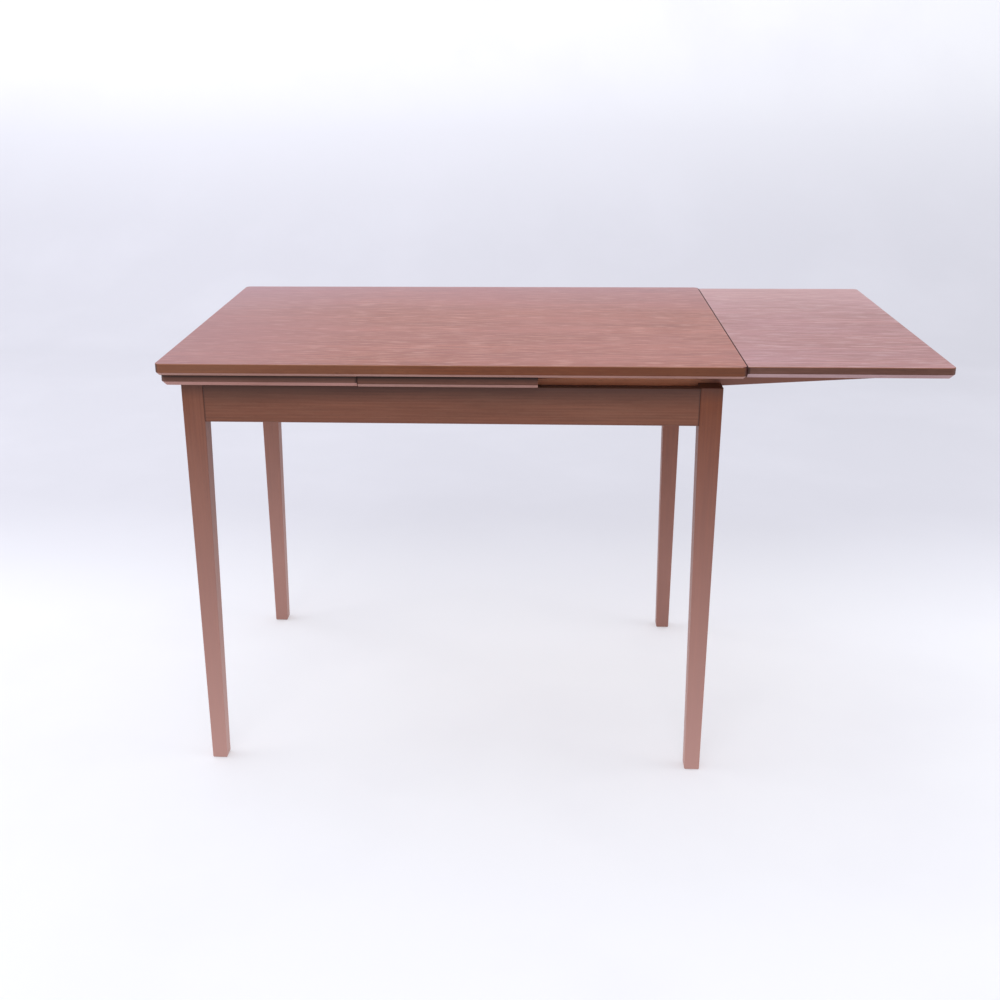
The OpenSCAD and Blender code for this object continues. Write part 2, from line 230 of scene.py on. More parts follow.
@dataclass(frozen=True)
class Fade:
    """A change of tone along one axis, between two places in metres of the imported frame."""

    axis: Axis
    start: float
    end: float
    tone: str
    strength: float

    def draw(self, tree: Tree, place: Socket) -> Socket:
        """Adds the fade's nodes.

        Args:
            tree: The material's node tree.
            place: The socket that gives the place on the piece.

        Returns:
            The socket with the fade, from zero to its strength.
        """
        along = add_node(tree, "SeparateXYZ", {0: place}).outputs[self.axis]
        fade = add_node(tree, "MapRange", {0: along, 1: self.start, 2: self.end, 3: 0.0, 4: self.strength})
        return fade.outputs[0]


@dataclass(frozen=True)
class Wood:
    """An oiled or raw wood: ground colour, darker late wood, bleached patches and open pores."""

    name: str
    ground: str
    late: str
    pale: str
    pore: str
    roughness: float
    rings: float = 7.0
    ring_strength: float = 0.3
    ring_stretch: float = 0.05
    ring_wander: float = 5.0
    ring_wander_scale: float = 0.12
    ring_edge: float = 0.25
    figure: Layer = Layer(300.0, 24.0, 0.4, 0.66, 0.35)
    streaks: Layer = Layer(70.0, 2.4, 0.4, 0.7, 0.4)
    flames: Layer = Layer(26.0, 4.0, 0.52, 0.66, 0.35)
    flecks: Layer = Layer(18.0, 4.5, 0.5, 0.64, 0.35)
    patches: Layer = Layer(150.0, 90.0, 0.42, 0.68, 0.4)
    pores: Layer = Layer(9.0, 0.7, 0.6, 0.7, 0.5)
    relief: float = 0.05
    bump: float = 0.6
    ior: float = 1.5
    gloss: float = 0.5
    dry_matt: float = 0.16
    pith: tuple[float, float, float] = (0.0, 140.0, 90.0)
    bloom: str = ""
    fades: tuple[Fade, ...] = ()

    def toned(self, name: str, ground: str, late: str, pale: str, pore: str, **changes: object) -> Wood:
        """Gives the same wood in other tones.

        Args:
            name: The other wood's name.
            ground: Its ground colour.
            late: Its darker late wood.
            pale: Its bleached patches.
            pore: Its open pores.
            **changes: Whatever else differs.

        Returns:
            The other wood.
        """
        return replace(self, name=name, ground=ground, late=late, pale=pale, pore=pore, **changes)

    def make(self, grain: Grain) -> Material:
        """Builds the wood with its fibres in one direction.

        Args:
            grain: The direction of the fibres.

        Returns:
            The material.
        """
        material, tree, place = new_material(f"{self.name}_{grain.name.lower()}")
        streaks = self.streaks.draw(tree, place, grain)
        pores = self.pores.draw(tree, place, grain)
        patches = self.patches.draw(tree, place, grain)
        steps = [
            (self.late, self.figure.draw(tree, place, grain)),
            (self.late, self._ring_lines(tree, place, grain)),
            (self.late, streaks),
            (self.late, self.flames.draw(tree, place, grain)),
            (self.pale, self.flecks.draw(tree, place, grain)),
            (self.bloom or self.pale, patches),
            (self.pore, pores),
        ]
        steps += [(fade.tone, fade.draw(tree, place)) for fade in self.fades]
        colour: object = linear(self.ground)
        for tone, amount in steps:
            mixed = add_node(tree, "Mix", {0: amount, 6: colour, 7: linear(tone)}, data_type="RGBA")
            colour = mixed.outputs[2]
        sheen = add_node(tree, "MapRange", {0: patches, 3: self.roughness, 4: self.roughness + self.dry_matt})
        height = add_node(tree, "Math", {0: streaks, 1: pores}, operation="SUBTRACT").outputs[0]
        depth = self.relief * MM
        bump = add_node(tree, "Bump", {"Strength": self.bump, "Distance": depth, "Height": height})
        shader = add_node(
            tree,
            "BsdfPrincipled",
            {
                "Base Color": colour,
                "Roughness": sheen.outputs[0],
                "Normal": bump.outputs[0],
                "IOR": self.ior,
                "Specular IOR Level": self.gloss,
            },
        )
        add_node(tree, "OutputMaterial", {0: shader.outputs[0]})
        return material

    def _ring_lines(self, tree: Tree, place: Socket, grain: Grain) -> Socket:
        """Adds growth rings, as a board cut from a log beside its pith shows them.

        Args:
            tree: The material's node tree.
            place: The socket that gives the place on the piece.
            grain: The direction of the fibres.

        Returns:
            The socket with the rings.
        """
        beside_pith = add_node(
            tree,
            "Mapping",
            {"Vector": place, "Location": [v * MM for v in self.pith], "Scale": grain.log(self.ring_stretch)},
        )
        rings = add_node(
            tree,
            "TexWave",
            {
                "Vector": beside_pith.outputs[0],
                "Scale": WAVE_LENGTH / (self.rings * MM),
                "Distortion": self.ring_wander,
                "Detail": 3.0,
                "Detail Scale": self.ring_wander_scale,
            },
            wave_type="RINGS",
            rings_direction="XYZ"[grain.value],
            wave_profile="SAW",
        )
        limits = {1: self.ring_edge, 2: 1.0, 3: 0.0, 4: self.ring_strength}
        return add_node(tree, "MapRange", {0: rings.outputs[1], **limits}).outputs[0]


@dataclass(frozen=True)
class Metal:
    """Plated steel with fine turning marks, which gives screw heads their broken glint."""

    name: str
    colour: str
    worn: str
    roughness: float
    brighter: float = 0.08
    duller: float = 0.14
    mark: float = 0.9
    relief: float = 0.03
    bump: float = 0.4

    def make(self) -> Material:
        """Builds the metal.

        Returns:
            The material.
        """
        material, tree, place = new_material(self.name)
        marks = add_node(
            tree, "TexNoise", {"Vector": place, "Scale": 1.0 / (self.mark * MM), "Detail": 4.0}
        ).outputs[0]
        tones = {6: linear(self.colour), 7: linear(self.worn)}
        colour = add_node(tree, "Mix", {0: marks, **tones}, data_type="RGBA")
        limits = {3: self.roughness - self.brighter, 4: self.roughness + self.duller}
        gloss = add_node(tree, "MapRange", {0: marks, **limits})
        bump = add_node(tree, "Bump", {"Strength": self.bump, "Distance": self.relief * MM, "Height": marks})
        shader = add_node(
            tree,
            "BsdfPrincipled",
            {
                "Base Color": colour.outputs[2],
                "Roughness": gloss.outputs[0],
                "Normal": bump.outputs[0],
                "Metallic": 1.0,
            },
        )
        add_node(tree, "OutputMaterial", {0: shader.outputs[0]})
        return material


@dataclass(frozen=True)
class Felt:
    """Pressed wool felt: matted fibres that scatter light and show a soft nap at grazing angles."""

    name: str
    colour: str
    deep: str
    roughness: float = 0.95
    nap: float = 0.5
    nap_roughness: float = 0.4
    tuft: float = 0.8
    relief: float = 0.25
    bump: float = 0.9

    def make(self) -> Material:
        """Builds the felt.

        Returns:
            The material.
        """
        material, tree, place = new_material(self.name)
        fibres = add_node(
            tree,
            "TexNoise",
            {"Vector": place, "Scale": 1.0 / (self.tuft * MM), "Detail": 6.0, "Distortion": 1.5},
        ).outputs[0]
        tones = {6: linear(self.deep), 7: linear(self.colour)}
        colour = add_node(tree, "Mix", {0: fibres, **tones}, data_type="RGBA")
        bump = add_node(tree, "Bump", {"Strength": self.bump, "Distance": self.relief * MM, "Height": fibres})
        shader = add_node(
            tree,
            "BsdfPrincipled",
            {
                "Base Color": colour.outputs[2],
                "Roughness": self.roughness,
                "Normal": bump.outputs[0],
                "Sheen Weight": self.nap,
                "Sheen Roughness": self.nap_roughness,
            },
        )
        add_node(tree, "OutputMaterial", {0: shader.outputs[0]})
        return material


# Sliced teak veneer, oiled and then bleached by use: fine wavy streaks with soft dusty patches.
# Teak's pores, about 0.3 mm wide, are too fine to show: the streaks and flecks stand for groups of them.
TOP_VENEER = Wood(
    "oiled_teak_veneer_top",
    "#ab6451",
    "#834434",
    "#c59180",
    "#5f3a2e",
    0.3,
    ring_strength=0.34,
    figure=Layer(700.0, 46.0, 0.4, 0.66, 0.4),
    streaks=Layer(130.0, 4.2, 0.42, 0.64, 0.7, 5.0),
    flames=Layer(90.0, 7.0, 0.5, 0.64, 0.5, 4.0),
    flecks=Layer(46.0, 5.0, 0.5, 0.64, 0.6, 5.0),
    patches=Layer(340.0, 210.0, 0.36, 0.74, 0.5),
    gloss=0.1,
    bloom="#b17c75",
)
# The same veneer on the leaves, kept from the light for years, a little pinker and quieter.
LEAF_VENEER = TOP_VENEER.toned(
    "oiled_teak_veneer_leaf",
    "#b17a76",
    "#8f5b55",
    "#cba6a4",
    "#6a4239",
    flecks=Layer(46.0, 5.0, 0.5, 0.64, 0.46, 5.0),
    pith=(0.0, 90.0, 60.0),
    bloom="#be959a",
)
# Solid teak lipping: calm long grain on its planed edge, darker and more orange than the veneer.
LIPPING = Wood(
    "oiled_teak_lipping",
    "#703c24",
    "#53301e",
    "#865a3e",
    "#3c2012",
    0.42,
    rings=5.0,
    streaks=Layer(120.0, 2.6, 0.4, 0.7, 0.4),
    flames=Layer(40.0, 4.0, 0.52, 0.66, 0.2),
    flecks=Layer(24.0, 4.0, 0.5, 0.64, 0.1),
    patches=Layer(200.0, 60.0, 0.42, 0.68, 0.15),
    gloss=0.2,
)
# The leaves' lipping, stowed in the dark and never oiled again: greyer.
LEAF_LIPPING = LIPPING.toned("dry_teak_lipping", "#634136", "#4a3026", "#7b5a4e", "#362019")
# The centre board's lipping: darker still.
BOARD_LIPPING = LIPPING.toned("darker_teak_lipping", "#623d31", "#452a20", "#6e4c3c", "#301c15")
# Lipping that looks into a seam, painted dark for the shade in the narrow gap, so that the seam reads as a
# line.
SEAM_SHADE_LIPPING = LIPPING.toned(
    "seam_shade_teak_lipping", "#3e1b17", "#2d1412", "#4f2922", "#22100d", roughness=0.6, gloss=0.1
)
# The lipping's planed lower chamfer, worn dry by hands and painted paler still for the floor light it
# catches, which draws a pale line under each edge.
WORN_AND_LIT_CHAMFER = LIPPING.toned("worn_and_floor_lit_teak_chamfer", "#ab7d74", "#90645a", "#b9948c", "#6a4438", roughness=0.5)
# The main top's chamfer, oiled with the top and so less bleached, with the same painted floor light.
TOP_CHAMFER = WORN_AND_LIT_CHAMFER.toned("oiled_teak_chamfer", "#a2796f", "#865f54", "#b08f87", "#5c3a30")
# The drawn leaf's chamfer, greyed by daylight, with the same painted floor light.
GREY_CHAMFER = WORN_AND_LIT_CHAMFER.toned("greyed_teak_chamfer", "#b08f90", "#957475", "#c0a6a8", "#6e4f48")
# The long upper arris, rubbed bare by sleeves and painted with the highlight its round catches from above,
# which draws a thin tan line along the edge.
RUBBED_AND_HIGHLIT_ARRIS = LIPPING.toned("rubbed_and_highlit_teak_arris", "#9b6a4e", "#7f5038", "#b4876c", "#5b3828", roughness=0.45)
# Solid teak of the aprons and rails, oiled once and left matt, with long quiet grain.
FRAME_TEAK = Wood(
    "oiled_teak_frame",
    "#774835",
    "#573122",
    "#85604c",
    "#40251a",
    0.48,
    rings=5.0,
    streaks=Layer(140.0, 3.0, 0.4, 0.7, 0.4),
    flames=Layer(60.0, 5.0, 0.52, 0.66, 0.15),
    flecks=Layer(30.0, 4.0, 0.5, 0.64, 0.08),
    patches=Layer(240.0, 60.0, 0.42, 0.68, 0.15),
    gloss=0.3,
)
# Solid teak of the legs, dry and pale where feet and mops have worn the oil away; the paleness towards the
# foot is partly painted, standing in for the overhang's shade on the upper leg.
LEG_TEAK = FRAME_TEAK.toned(
    "worn_teak_leg",
    "#774530",
    "#603625",
    "#8f6250",
    "#452820",
    roughness=0.46,
    gloss=0.35,
    patches=Layer(150.0, 40.0, 0.45, 0.7, 0.1),
    flecks=Layer(30.0, 4.0, 0.5, 0.64, 0.04),
)
# The two right-hand legs, in a darker, redder tone.
RED_LEG_TEAK = replace(LEG_TEAK, name="worn_red_teak_leg", ground="#713a1f", late="#582915", pale="#8b553a")
# Planed teak of the lopers, unfaded inside the frame and polished by sliding, made paler still to paint light
# into the shaded slit under the top.
LOPER_TEAK = FRAME_TEAK.toned(
    "planed_teak_loper", "#dc9673", "#b9775a", "#e2a78a", "#6e402c", roughness=0.38, gloss=0.4
)
# Steamed beech: even pinkish ground with short dark flecks and hardly a ring.
BEECH = Wood(
    "steamed_beech",
    "#c09a74",
    "#a97f5b",
    "#cfae8c",
    "#8c6243",
    0.55,
    ring_strength=0.12,
    pores=Layer(4.0, 0.8, 0.6, 0.68, 0.55),
)
# Balancing veneer under the boards, plain sliced and never oiled.
BALANCING_VENEER = Wood("raw_balancing_veneer", "#a57b5d", "#8e6548", "#b8927a", "#6f4c36", 0.62)
# Zinc-plated screws, dulled by the wood's acid: a broken grey glint in the countersinks.
SCREW_STEEL = Metal("zinc_plated_steel", "#b4b1a8", "#85827b", 0.38)
# Green wool felt, matted by the top's weight: a soft dark line under the top.
WOOL_FELT = Felt("green_wool_felt", "#4b6a50", "#2c4232")


# Painted shade for a seam's gap and a board's corners, and a brown for the painted shade under an overhang
# and for the dark lines of the leg joints.
CORNER_AND_GAP_SHADE = "#2a1a16"
SHADE_AND_JOINT_BROWN = "#35201b"
# A paler, bluer tone on the top's left end, and a painted reflection of the pale backdrop along the back.
LEFT_END_TONE = "#9c7177"
BACK_REFLECTION_TONE = "#aa848f"
# A pale pink tone towards the leaves' back edge; the legs' paler feet, partly wear and partly painted shade
# on the upper leg; and a paler left and a darker right tone for the top's edge.
PALE_BACK_TONE = "#dcb6b6"
PALE_FOOT_TONE = "#b58a80"
PALER_LEFT_TONE = "#9a6f58"
DARKER_RIGHT_TONE = "#5b3524"
# Painted shade on the lopers where they lie under the drawn leaf.
UNDER_LEAF_SHADE = "#6b4136"
# How far below a covered board's upper edge the painted shade starts and is full, and how far the painted
# dark gap.
SHADE_DEPTHS = (9.0, 1.0)
GAP_DEPTHS = (4.0, 2.0)


class Finishes:
    """Keeps each finish that has been made, so that pieces share it."""

    def __init__(self) -> None:
        """Starts with none made."""
        self._made: dict[str, Material] = {}

    def wood(self, wood: Wood, grain: Grain) -> Material:
        """Gives a wood with its fibres in one direction."""
        return self._keep(f"{wood.name}_{grain.name}", lambda: wood.make(grain))

    def plain(self, finish: Metal | Felt) -> Material:
        """Gives a finish that has no direction."""
        return self._keep(finish.name, finish.make)

    def _keep(self, key: str, make: Callable[[], Material]) -> Material:
        """Gives what was made under a key, and makes it first where nothing was."""
        if key not in self._made:
            self._made[key] = make()
        return self._made[key]


# ---------------------------------------------------------------- the bench


def deselect_all() -> None:
    """Leaves edit mode and clears the selection."""
    if bpy.context.object is not None and bpy.context.object.mode != "OBJECT":
        bpy.ops.object.mode_set(mode="OBJECT")
    bpy.ops.object.select_all(action="DESELECT")


def is_upright(a: Vector, b: Vector) -> bool:
    """Tells whether an edge stands straight up."""
    return abs(a.x - b.x) < NEAR and abs(a.y - b.y) < NEAR and abs(a.z - b.z) > NEAR


def is_level(a: Vector, b: Vector, z: float) -> bool:
    """Tells whether an edge lies at the height z."""
    return abs(a.z - z) < NEAR and abs(b.z - z) < NEAR


def is_chamfer(middle: Vector, normal: Vector) -> bool:
    """Tells whether a face slopes downwards, as the lower chamfer of a board does."""
    return -FACING < normal.z < -SLOPING


class Workpiece:
    """A mesh that is shaped from a squared or turned blank, as on a bench."""

    def __init__(self, obj: bpy.types.Object) -> None:
        """Takes an object as the piece."""
        self.obj = obj

    @classmethod
    def block(cls, name: str, low: Vector, high: Vector) -> Workpiece:
        """Saws out a squared blank.

        Args:
            name: The piece's name.
            low: Its lowest corner.
            high: Its highest corner.

        Returns:
            The piece.
        """
        deselect_all()
        bpy.ops.mesh.primitive_cube_add(size=1.0, location=(low + high) / 2, scale=high - low)
        return cls._named(name)

    @classmethod
    def turned(cls, name: str, base: Vector, radius: float, height: float, sides: int = 48) -> Workpiece:
        """Turns an upright round blank.

        Args:
            name: The piece's name.
            base: The middle of its lower end.
            radius: Its radius.
            height: Its height.
            sides: How many sides its circle has.

        Returns:
            The piece.
        """
        deselect_all()
        middle = base + Vector((0, 0, height / 2))
        bpy.ops.mesh.primitive_cylinder_add(vertices=sides, radius=radius, depth=height, location=middle)
        return cls._named(name)

    @classmethod
    def from_node(cls, name: str, node: str) -> Workpiece:
        """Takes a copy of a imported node, its triangles merged back into whole faces.

        Args:
            name: The piece's name.
            node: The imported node.

        Returns:
            The piece.
        """
        deselect_all()
        source = bpy.data.objects[node]
        obj = bpy.data.objects.new(name, source.data.copy())
        bpy.context.scene.collection.objects.link(obj)
        piece = cls(obj)
        with piece.whole():
            bpy.ops.mesh.remove_doubles(threshold=MERGE)
            bpy.ops.mesh.dissolve_limited(angle_limit=FLATNESS)
        obj.data.materials.clear()
        return piece

    @classmethod
    def eased(cls, name: str, node: str, arris: float, segments: int = 2) -> Workpiece:
        """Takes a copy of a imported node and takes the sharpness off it.

        Args:
            name: The piece's name.
            node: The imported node.
            arris: The width of the softening, in millimetres.
            segments: How many flats make it.

        Returns:
            The piece.
        """
        return cls.from_node(name, node).soften(arris * MM, segments).smooth()

    @classmethod
    def _named(cls, name: str) -> Workpiece:
        """Names the new primitive and puts its place in its mesh.

        Args:
            name: The piece's name.

        Returns:
            The piece.
        """
        obj = bpy.context.active_object
        obj.name = name
        obj.data.name = name
        bpy.ops.object.transform_apply(location=True, rotation=True, scale=True)
        return cls(obj)

    @contextmanager
    def editing(self, mode: str) -> Iterator[bmesh.types.BMesh]:
        """Opens the piece in edit mode with nothing selected.

        Args:
            mode: What is selected, "VERT", "EDGE" or "FACE".

        Yields:
            The mesh, for selecting by place or normal.
        """
        self._pick()
        bpy.ops.object.mode_set(mode="EDIT")
        bpy.ops.mesh.select_mode(type=mode)
        bpy.ops.mesh.select_all(action="DESELECT")
        yield bmesh.from_edit_mesh(self.obj.data)
        bpy.ops.object.mode_set(mode="OBJECT")

    @contextmanager
    def whole(self) -> Iterator[None]:
        """Opens the piece in edit mode with all of it selected."""
        with self.editing("VERT"):
            bpy.ops.mesh.select_all(action="SELECT")
            yield

    def bevel(self, where: EdgeTest, width: float, segments: int = 1) -> Workpiece:
        """Chamfers edges with one segment, or rounds them with more.

        Args:
            where: Tells from an edge's two ends whether it is worked.
            width: The chamfer's leg or the round's radius.
            segments: How many flats make the bevel.

        Returns:
            The piece.
        """
        with self.editing("EDGE") as mesh:
            for edge in mesh.edges:
                edge.select_set(where(edge.verts[0].co, edge.verts[1].co))
            bmesh.update_edit_mesh(self.obj.data)
            bpy.ops.mesh.bevel(offset=width, segments=segments, affect="EDGES", clamp_overlap=False)
        return self

    def saw(self, point: Vector, away: Vector) -> Workpiece:
        """Cuts the piece and drops what lies on one side.

        Args:
            point: A point on the cut.
            away: The direction in which the waste lies.

        Returns:
            The piece.
        """
        with self.whole():
            bpy.ops.mesh.bisect(plane_co=point, plane_no=away, use_fill=True, clear_outer=True)
        return self

    def score(self, point: Vector, normal: Vector) -> Workpiece:
        """Marks a line round the piece, which splits its faces there.

        Args:
            point: A point on the line's plane.
            normal: The plane's normal.

        Returns:
            The piece.
        """
        with self.whole():
            bpy.ops.mesh.bisect(plane_co=point, plane_no=normal)
        return self

    def scale_face(self, where: FaceTest, factors: Vector, centre: Vector) -> Workpiece:
        """Shrinks faces about a point.

        Args:
            where: Tells from a face's middle and normal whether it is scaled.
            factors: The scale along each axis.
            centre: The point that stays.

        Returns:
            The piece.
        """
        with self.editing("FACE") as mesh:
            for face in mesh.faces:
                face.select_set(where(face.calc_center_median(), face.normal))
            bmesh.update_edit_mesh(self.obj.data)
            bpy.ops.transform.resize(value=factors, center_override=centre)
        return self

    def copy(self, name: str) -> Workpiece:
        """Gives a copy with its own mesh.

        Args:
            name: The copy's name.

        Returns:
            The copy.
        """
        obj = self.obj.copy()
        obj.data = self.obj.data.copy()
        obj.name = name
        bpy.context.scene.collection.objects.link(obj)
        return Workpiece(obj)

    def mirrored(self, name: str, flip_x: bool, flip_y: bool, centre: Vector) -> Workpiece:
        """Gives a copy mirrored about a point.

        Args:
            name: The copy's name.
            flip_x: Whether left and right change places.
            flip_y: Whether front and back change places.
            centre: The point that stays.

        Returns:
            The copy.
        """
        twin = self.copy(name)
        with twin.whole():
            factors = (-1 if flip_x else 1, -1 if flip_y else 1, 1)
            bpy.ops.transform.resize(value=factors, center_override=centre)
            bpy.ops.mesh.normals_make_consistent(inside=False)
        return twin

    def aim(self, direction: Vector) -> Workpiece:
        """Turns the piece about the origin, from pointing up to pointing another way.

        Args:
            direction: The direction, along an axis.

        Returns:
            The piece.
        """
        if direction != UP:
            pivot = UP.cross(direction)
            number = max(range(3), key=lambda i: abs(pivot[i]))
            turn = math.copysign(UP.angle(direction), -pivot[number])
            with self.whole():
                bpy.ops.transform.rotate(value=turn, orient_axis="XYZ"[number], center_override=ORIGIN)
        return self

    def split(self) -> list[Workpiece]:
        """Separates the piece into its loose parts."""
        with self.whole():
            bpy.ops.mesh.separate(type="LOOSE")
        return [Workpiece(obj) for obj in bpy.context.selected_objects]

    def move(self, offset: Vector) -> Workpiece:
        """Moves the piece."""
        with self.whole():
            bpy.ops.transform.translate(value=offset)
        return self

    def join(self, others: list[Workpiece]) -> Workpiece:
        """Takes other pieces into this one.

        Args:
            others: The other pieces, which are gone afterwards.

        Returns:
            The piece.
        """
        self._pick()
        for other in others:
            other.obj.select_set(True)
        bpy.ops.object.join()
        return self

    def cut_with(self, tool: Workpiece) -> Workpiece:
        """Cuts the shape of another piece out of this one, and drops the other."""
        self._modify("BOOLEAN", operation="DIFFERENCE", object=tool.obj, solver="EXACT")
        bpy.data.objects.remove(tool.obj)
        return self

    def soften(self, width: float, segments: int = 2, angle: float = 35.0) -> Workpiece:
        """Takes the sharpness off every arris.

        Args:
            width: The width of the softening.
            segments: How many flats make it.
            angle: The least angle of an edge that is softened, in degrees.

        Returns:
            The piece.
        """
        self._modify(
            "BEVEL",
            width=width,
            segments=segments,
            limit_method="ANGLE",
            angle_limit=math.radians(angle),
            use_clamp_overlap=True,
        )
        return self

    def smooth(self, angle: float = 40.0) -> Workpiece:
        """Shades the rounds smooth and keeps the flats flat.

        Args:
            angle: The angle up to which an edge is shaded smooth, in degrees.

        Returns:
            The piece.
        """
        self._pick()
        bpy.ops.object.shade_smooth_by_angle(angle=math.radians(angle))
        self._modify("WEIGHTED_NORMAL", keep_sharp=True)
        return self

    def finish(self, *materials: Material) -> Workpiece:
        """Gives the piece its finishes.

        Args:
            *materials: The finishes, of which every face starts with the first.

        Returns:
            The piece.
        """
        self.obj.data.materials.clear()
        for material in materials:
            self.obj.data.materials.append(material)
        return self

    def refinish(self, where: FaceTest, number: int) -> Workpiece:
        """Gives faces another of the piece's finishes.

        Args:
            where: Tells from a face's middle and normal whether it changes.
            number: The finish's number, from zero.

        Returns:
            The piece.
        """
        for face in self.obj.data.polygons:
            if where(face.center, face.normal):
                face.material_index = number
        return self

    def mount(self, body: str, slot: str, *nodes: str) -> Workpiece:
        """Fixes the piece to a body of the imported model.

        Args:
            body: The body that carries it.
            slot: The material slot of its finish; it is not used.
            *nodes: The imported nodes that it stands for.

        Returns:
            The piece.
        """
        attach(self.obj, body)
        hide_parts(*nodes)
        LOG.info("%s: %d faces on %s", self.obj.name, len(self.obj.data.polygons), body)
        return self

    def _pick(self) -> None:
        """Selects the piece alone and makes it active."""
        deselect_all()
        self.obj.select_set(True)
        bpy.context.view_layer.objects.active = self.obj

    def _modify(self, kind: str, **settings: object) -> None:
        """Adds a modifier and applies it.

        Args:
            kind: The modifier's type.
            **settings: Its settings.
        """
        self._pick()
        modifier = self.obj.modifiers.new(kind.lower(), kind)
        for name, value in settings.items():
            setattr(modifier, name, value)
        bpy.ops.object.modifier_apply(modifier=modifier.name)


def dress(node: str, material: Material) -> None:
    """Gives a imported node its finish.

    Args:
        node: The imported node.
        material: The finish.
    """
    obj = bpy.data.objects[node]
    obj.data.materials.clear()
    obj.data.materials.append(material)
    LOG.info("%s: dressed as %s", node, material.name)


# ---------------------------------------------------------------- the table


class End(Enum):
    """An end of the table, by its sign along the length."""

    LEFT = -1
    RIGHT = 1


@dataclass(frozen=True)
class EdgeFinish:
    """The finishes of a board's edge, and the end of the board that meets a seam."""

    long: Wood
    short: Wood
    # The chamfer's wood is paler, partly painted for the floor light it catches.
    chamfer: Wood
    # The arris is rubbed bare and carries a painted highlight.
    arris: Wood = RUBBED_AND_HIGHLIT_ARRIS
    # The seam's lipping is painted dark for the shade in the gap.
    seam: Wood = SEAM_SHADE_LIPPING
    seam_end: End = End.RIGHT
    turned_away: float = 0.15

    def in_seam(self, middle: Vector, normal: Vector) -> bool:
        """Tells whether a face looks into the seam."""
        return normal.x * self.seam_end.value > self.turned_away and normal.z < FLAT


@dataclass(frozen=True)
class EdgeProfile:
    """A board's edge: round corners in plan, a round arris above and a chamfer below."""

    corner: float
    chamfer: float
    arris: float = 1.5
    eased: float = 1.2
    corner_flats: int = 8
    arris_flats: int = 4
    eased_flats: int = 2

    def shape(self, blank: Workpiece, low: Vector, high: Vector, square_x: float | None) -> Workpiece:
        """Works the profile round a squared blank.

        Args:
            blank: The blank.
            low: Its lowest corner.
            high: Its highest corner.
            square_x: Where the board has a square-cut end, or None.

        Returns:
            The board.
        """

        def on_square_end(a: Vector, b: Vector) -> bool:
            """Tells whether an edge lies in the square-cut end."""
            return square_x is not None and abs(a.x - square_x) < NEAR and abs(b.x - square_x) < NEAR

        def is_corner(a: Vector, b: Vector) -> bool:
            """Tells whether an edge is one of the corners that are rounded."""
            return is_upright(a, b) and not on_square_end(a, b)

        def level_edges(z: float, square: bool = False) -> EdgeTest:
            """Gives the test for the edges at a height, in the square-cut end or round the rest."""
            return lambda a, b: is_level(a, b, z) and on_square_end(a, b) == square

        blank.bevel(is_corner, self.corner * MM, self.corner_flats)
        blank.bevel(level_edges(high.z), self.arris * MM, self.arris_flats)
        blank.bevel(level_edges(low.z), self.chamfer * MM)
        if square_x is not None:
            blank.bevel(level_edges(high.z, True), self.eased * MM, self.eased_flats)
        return blank


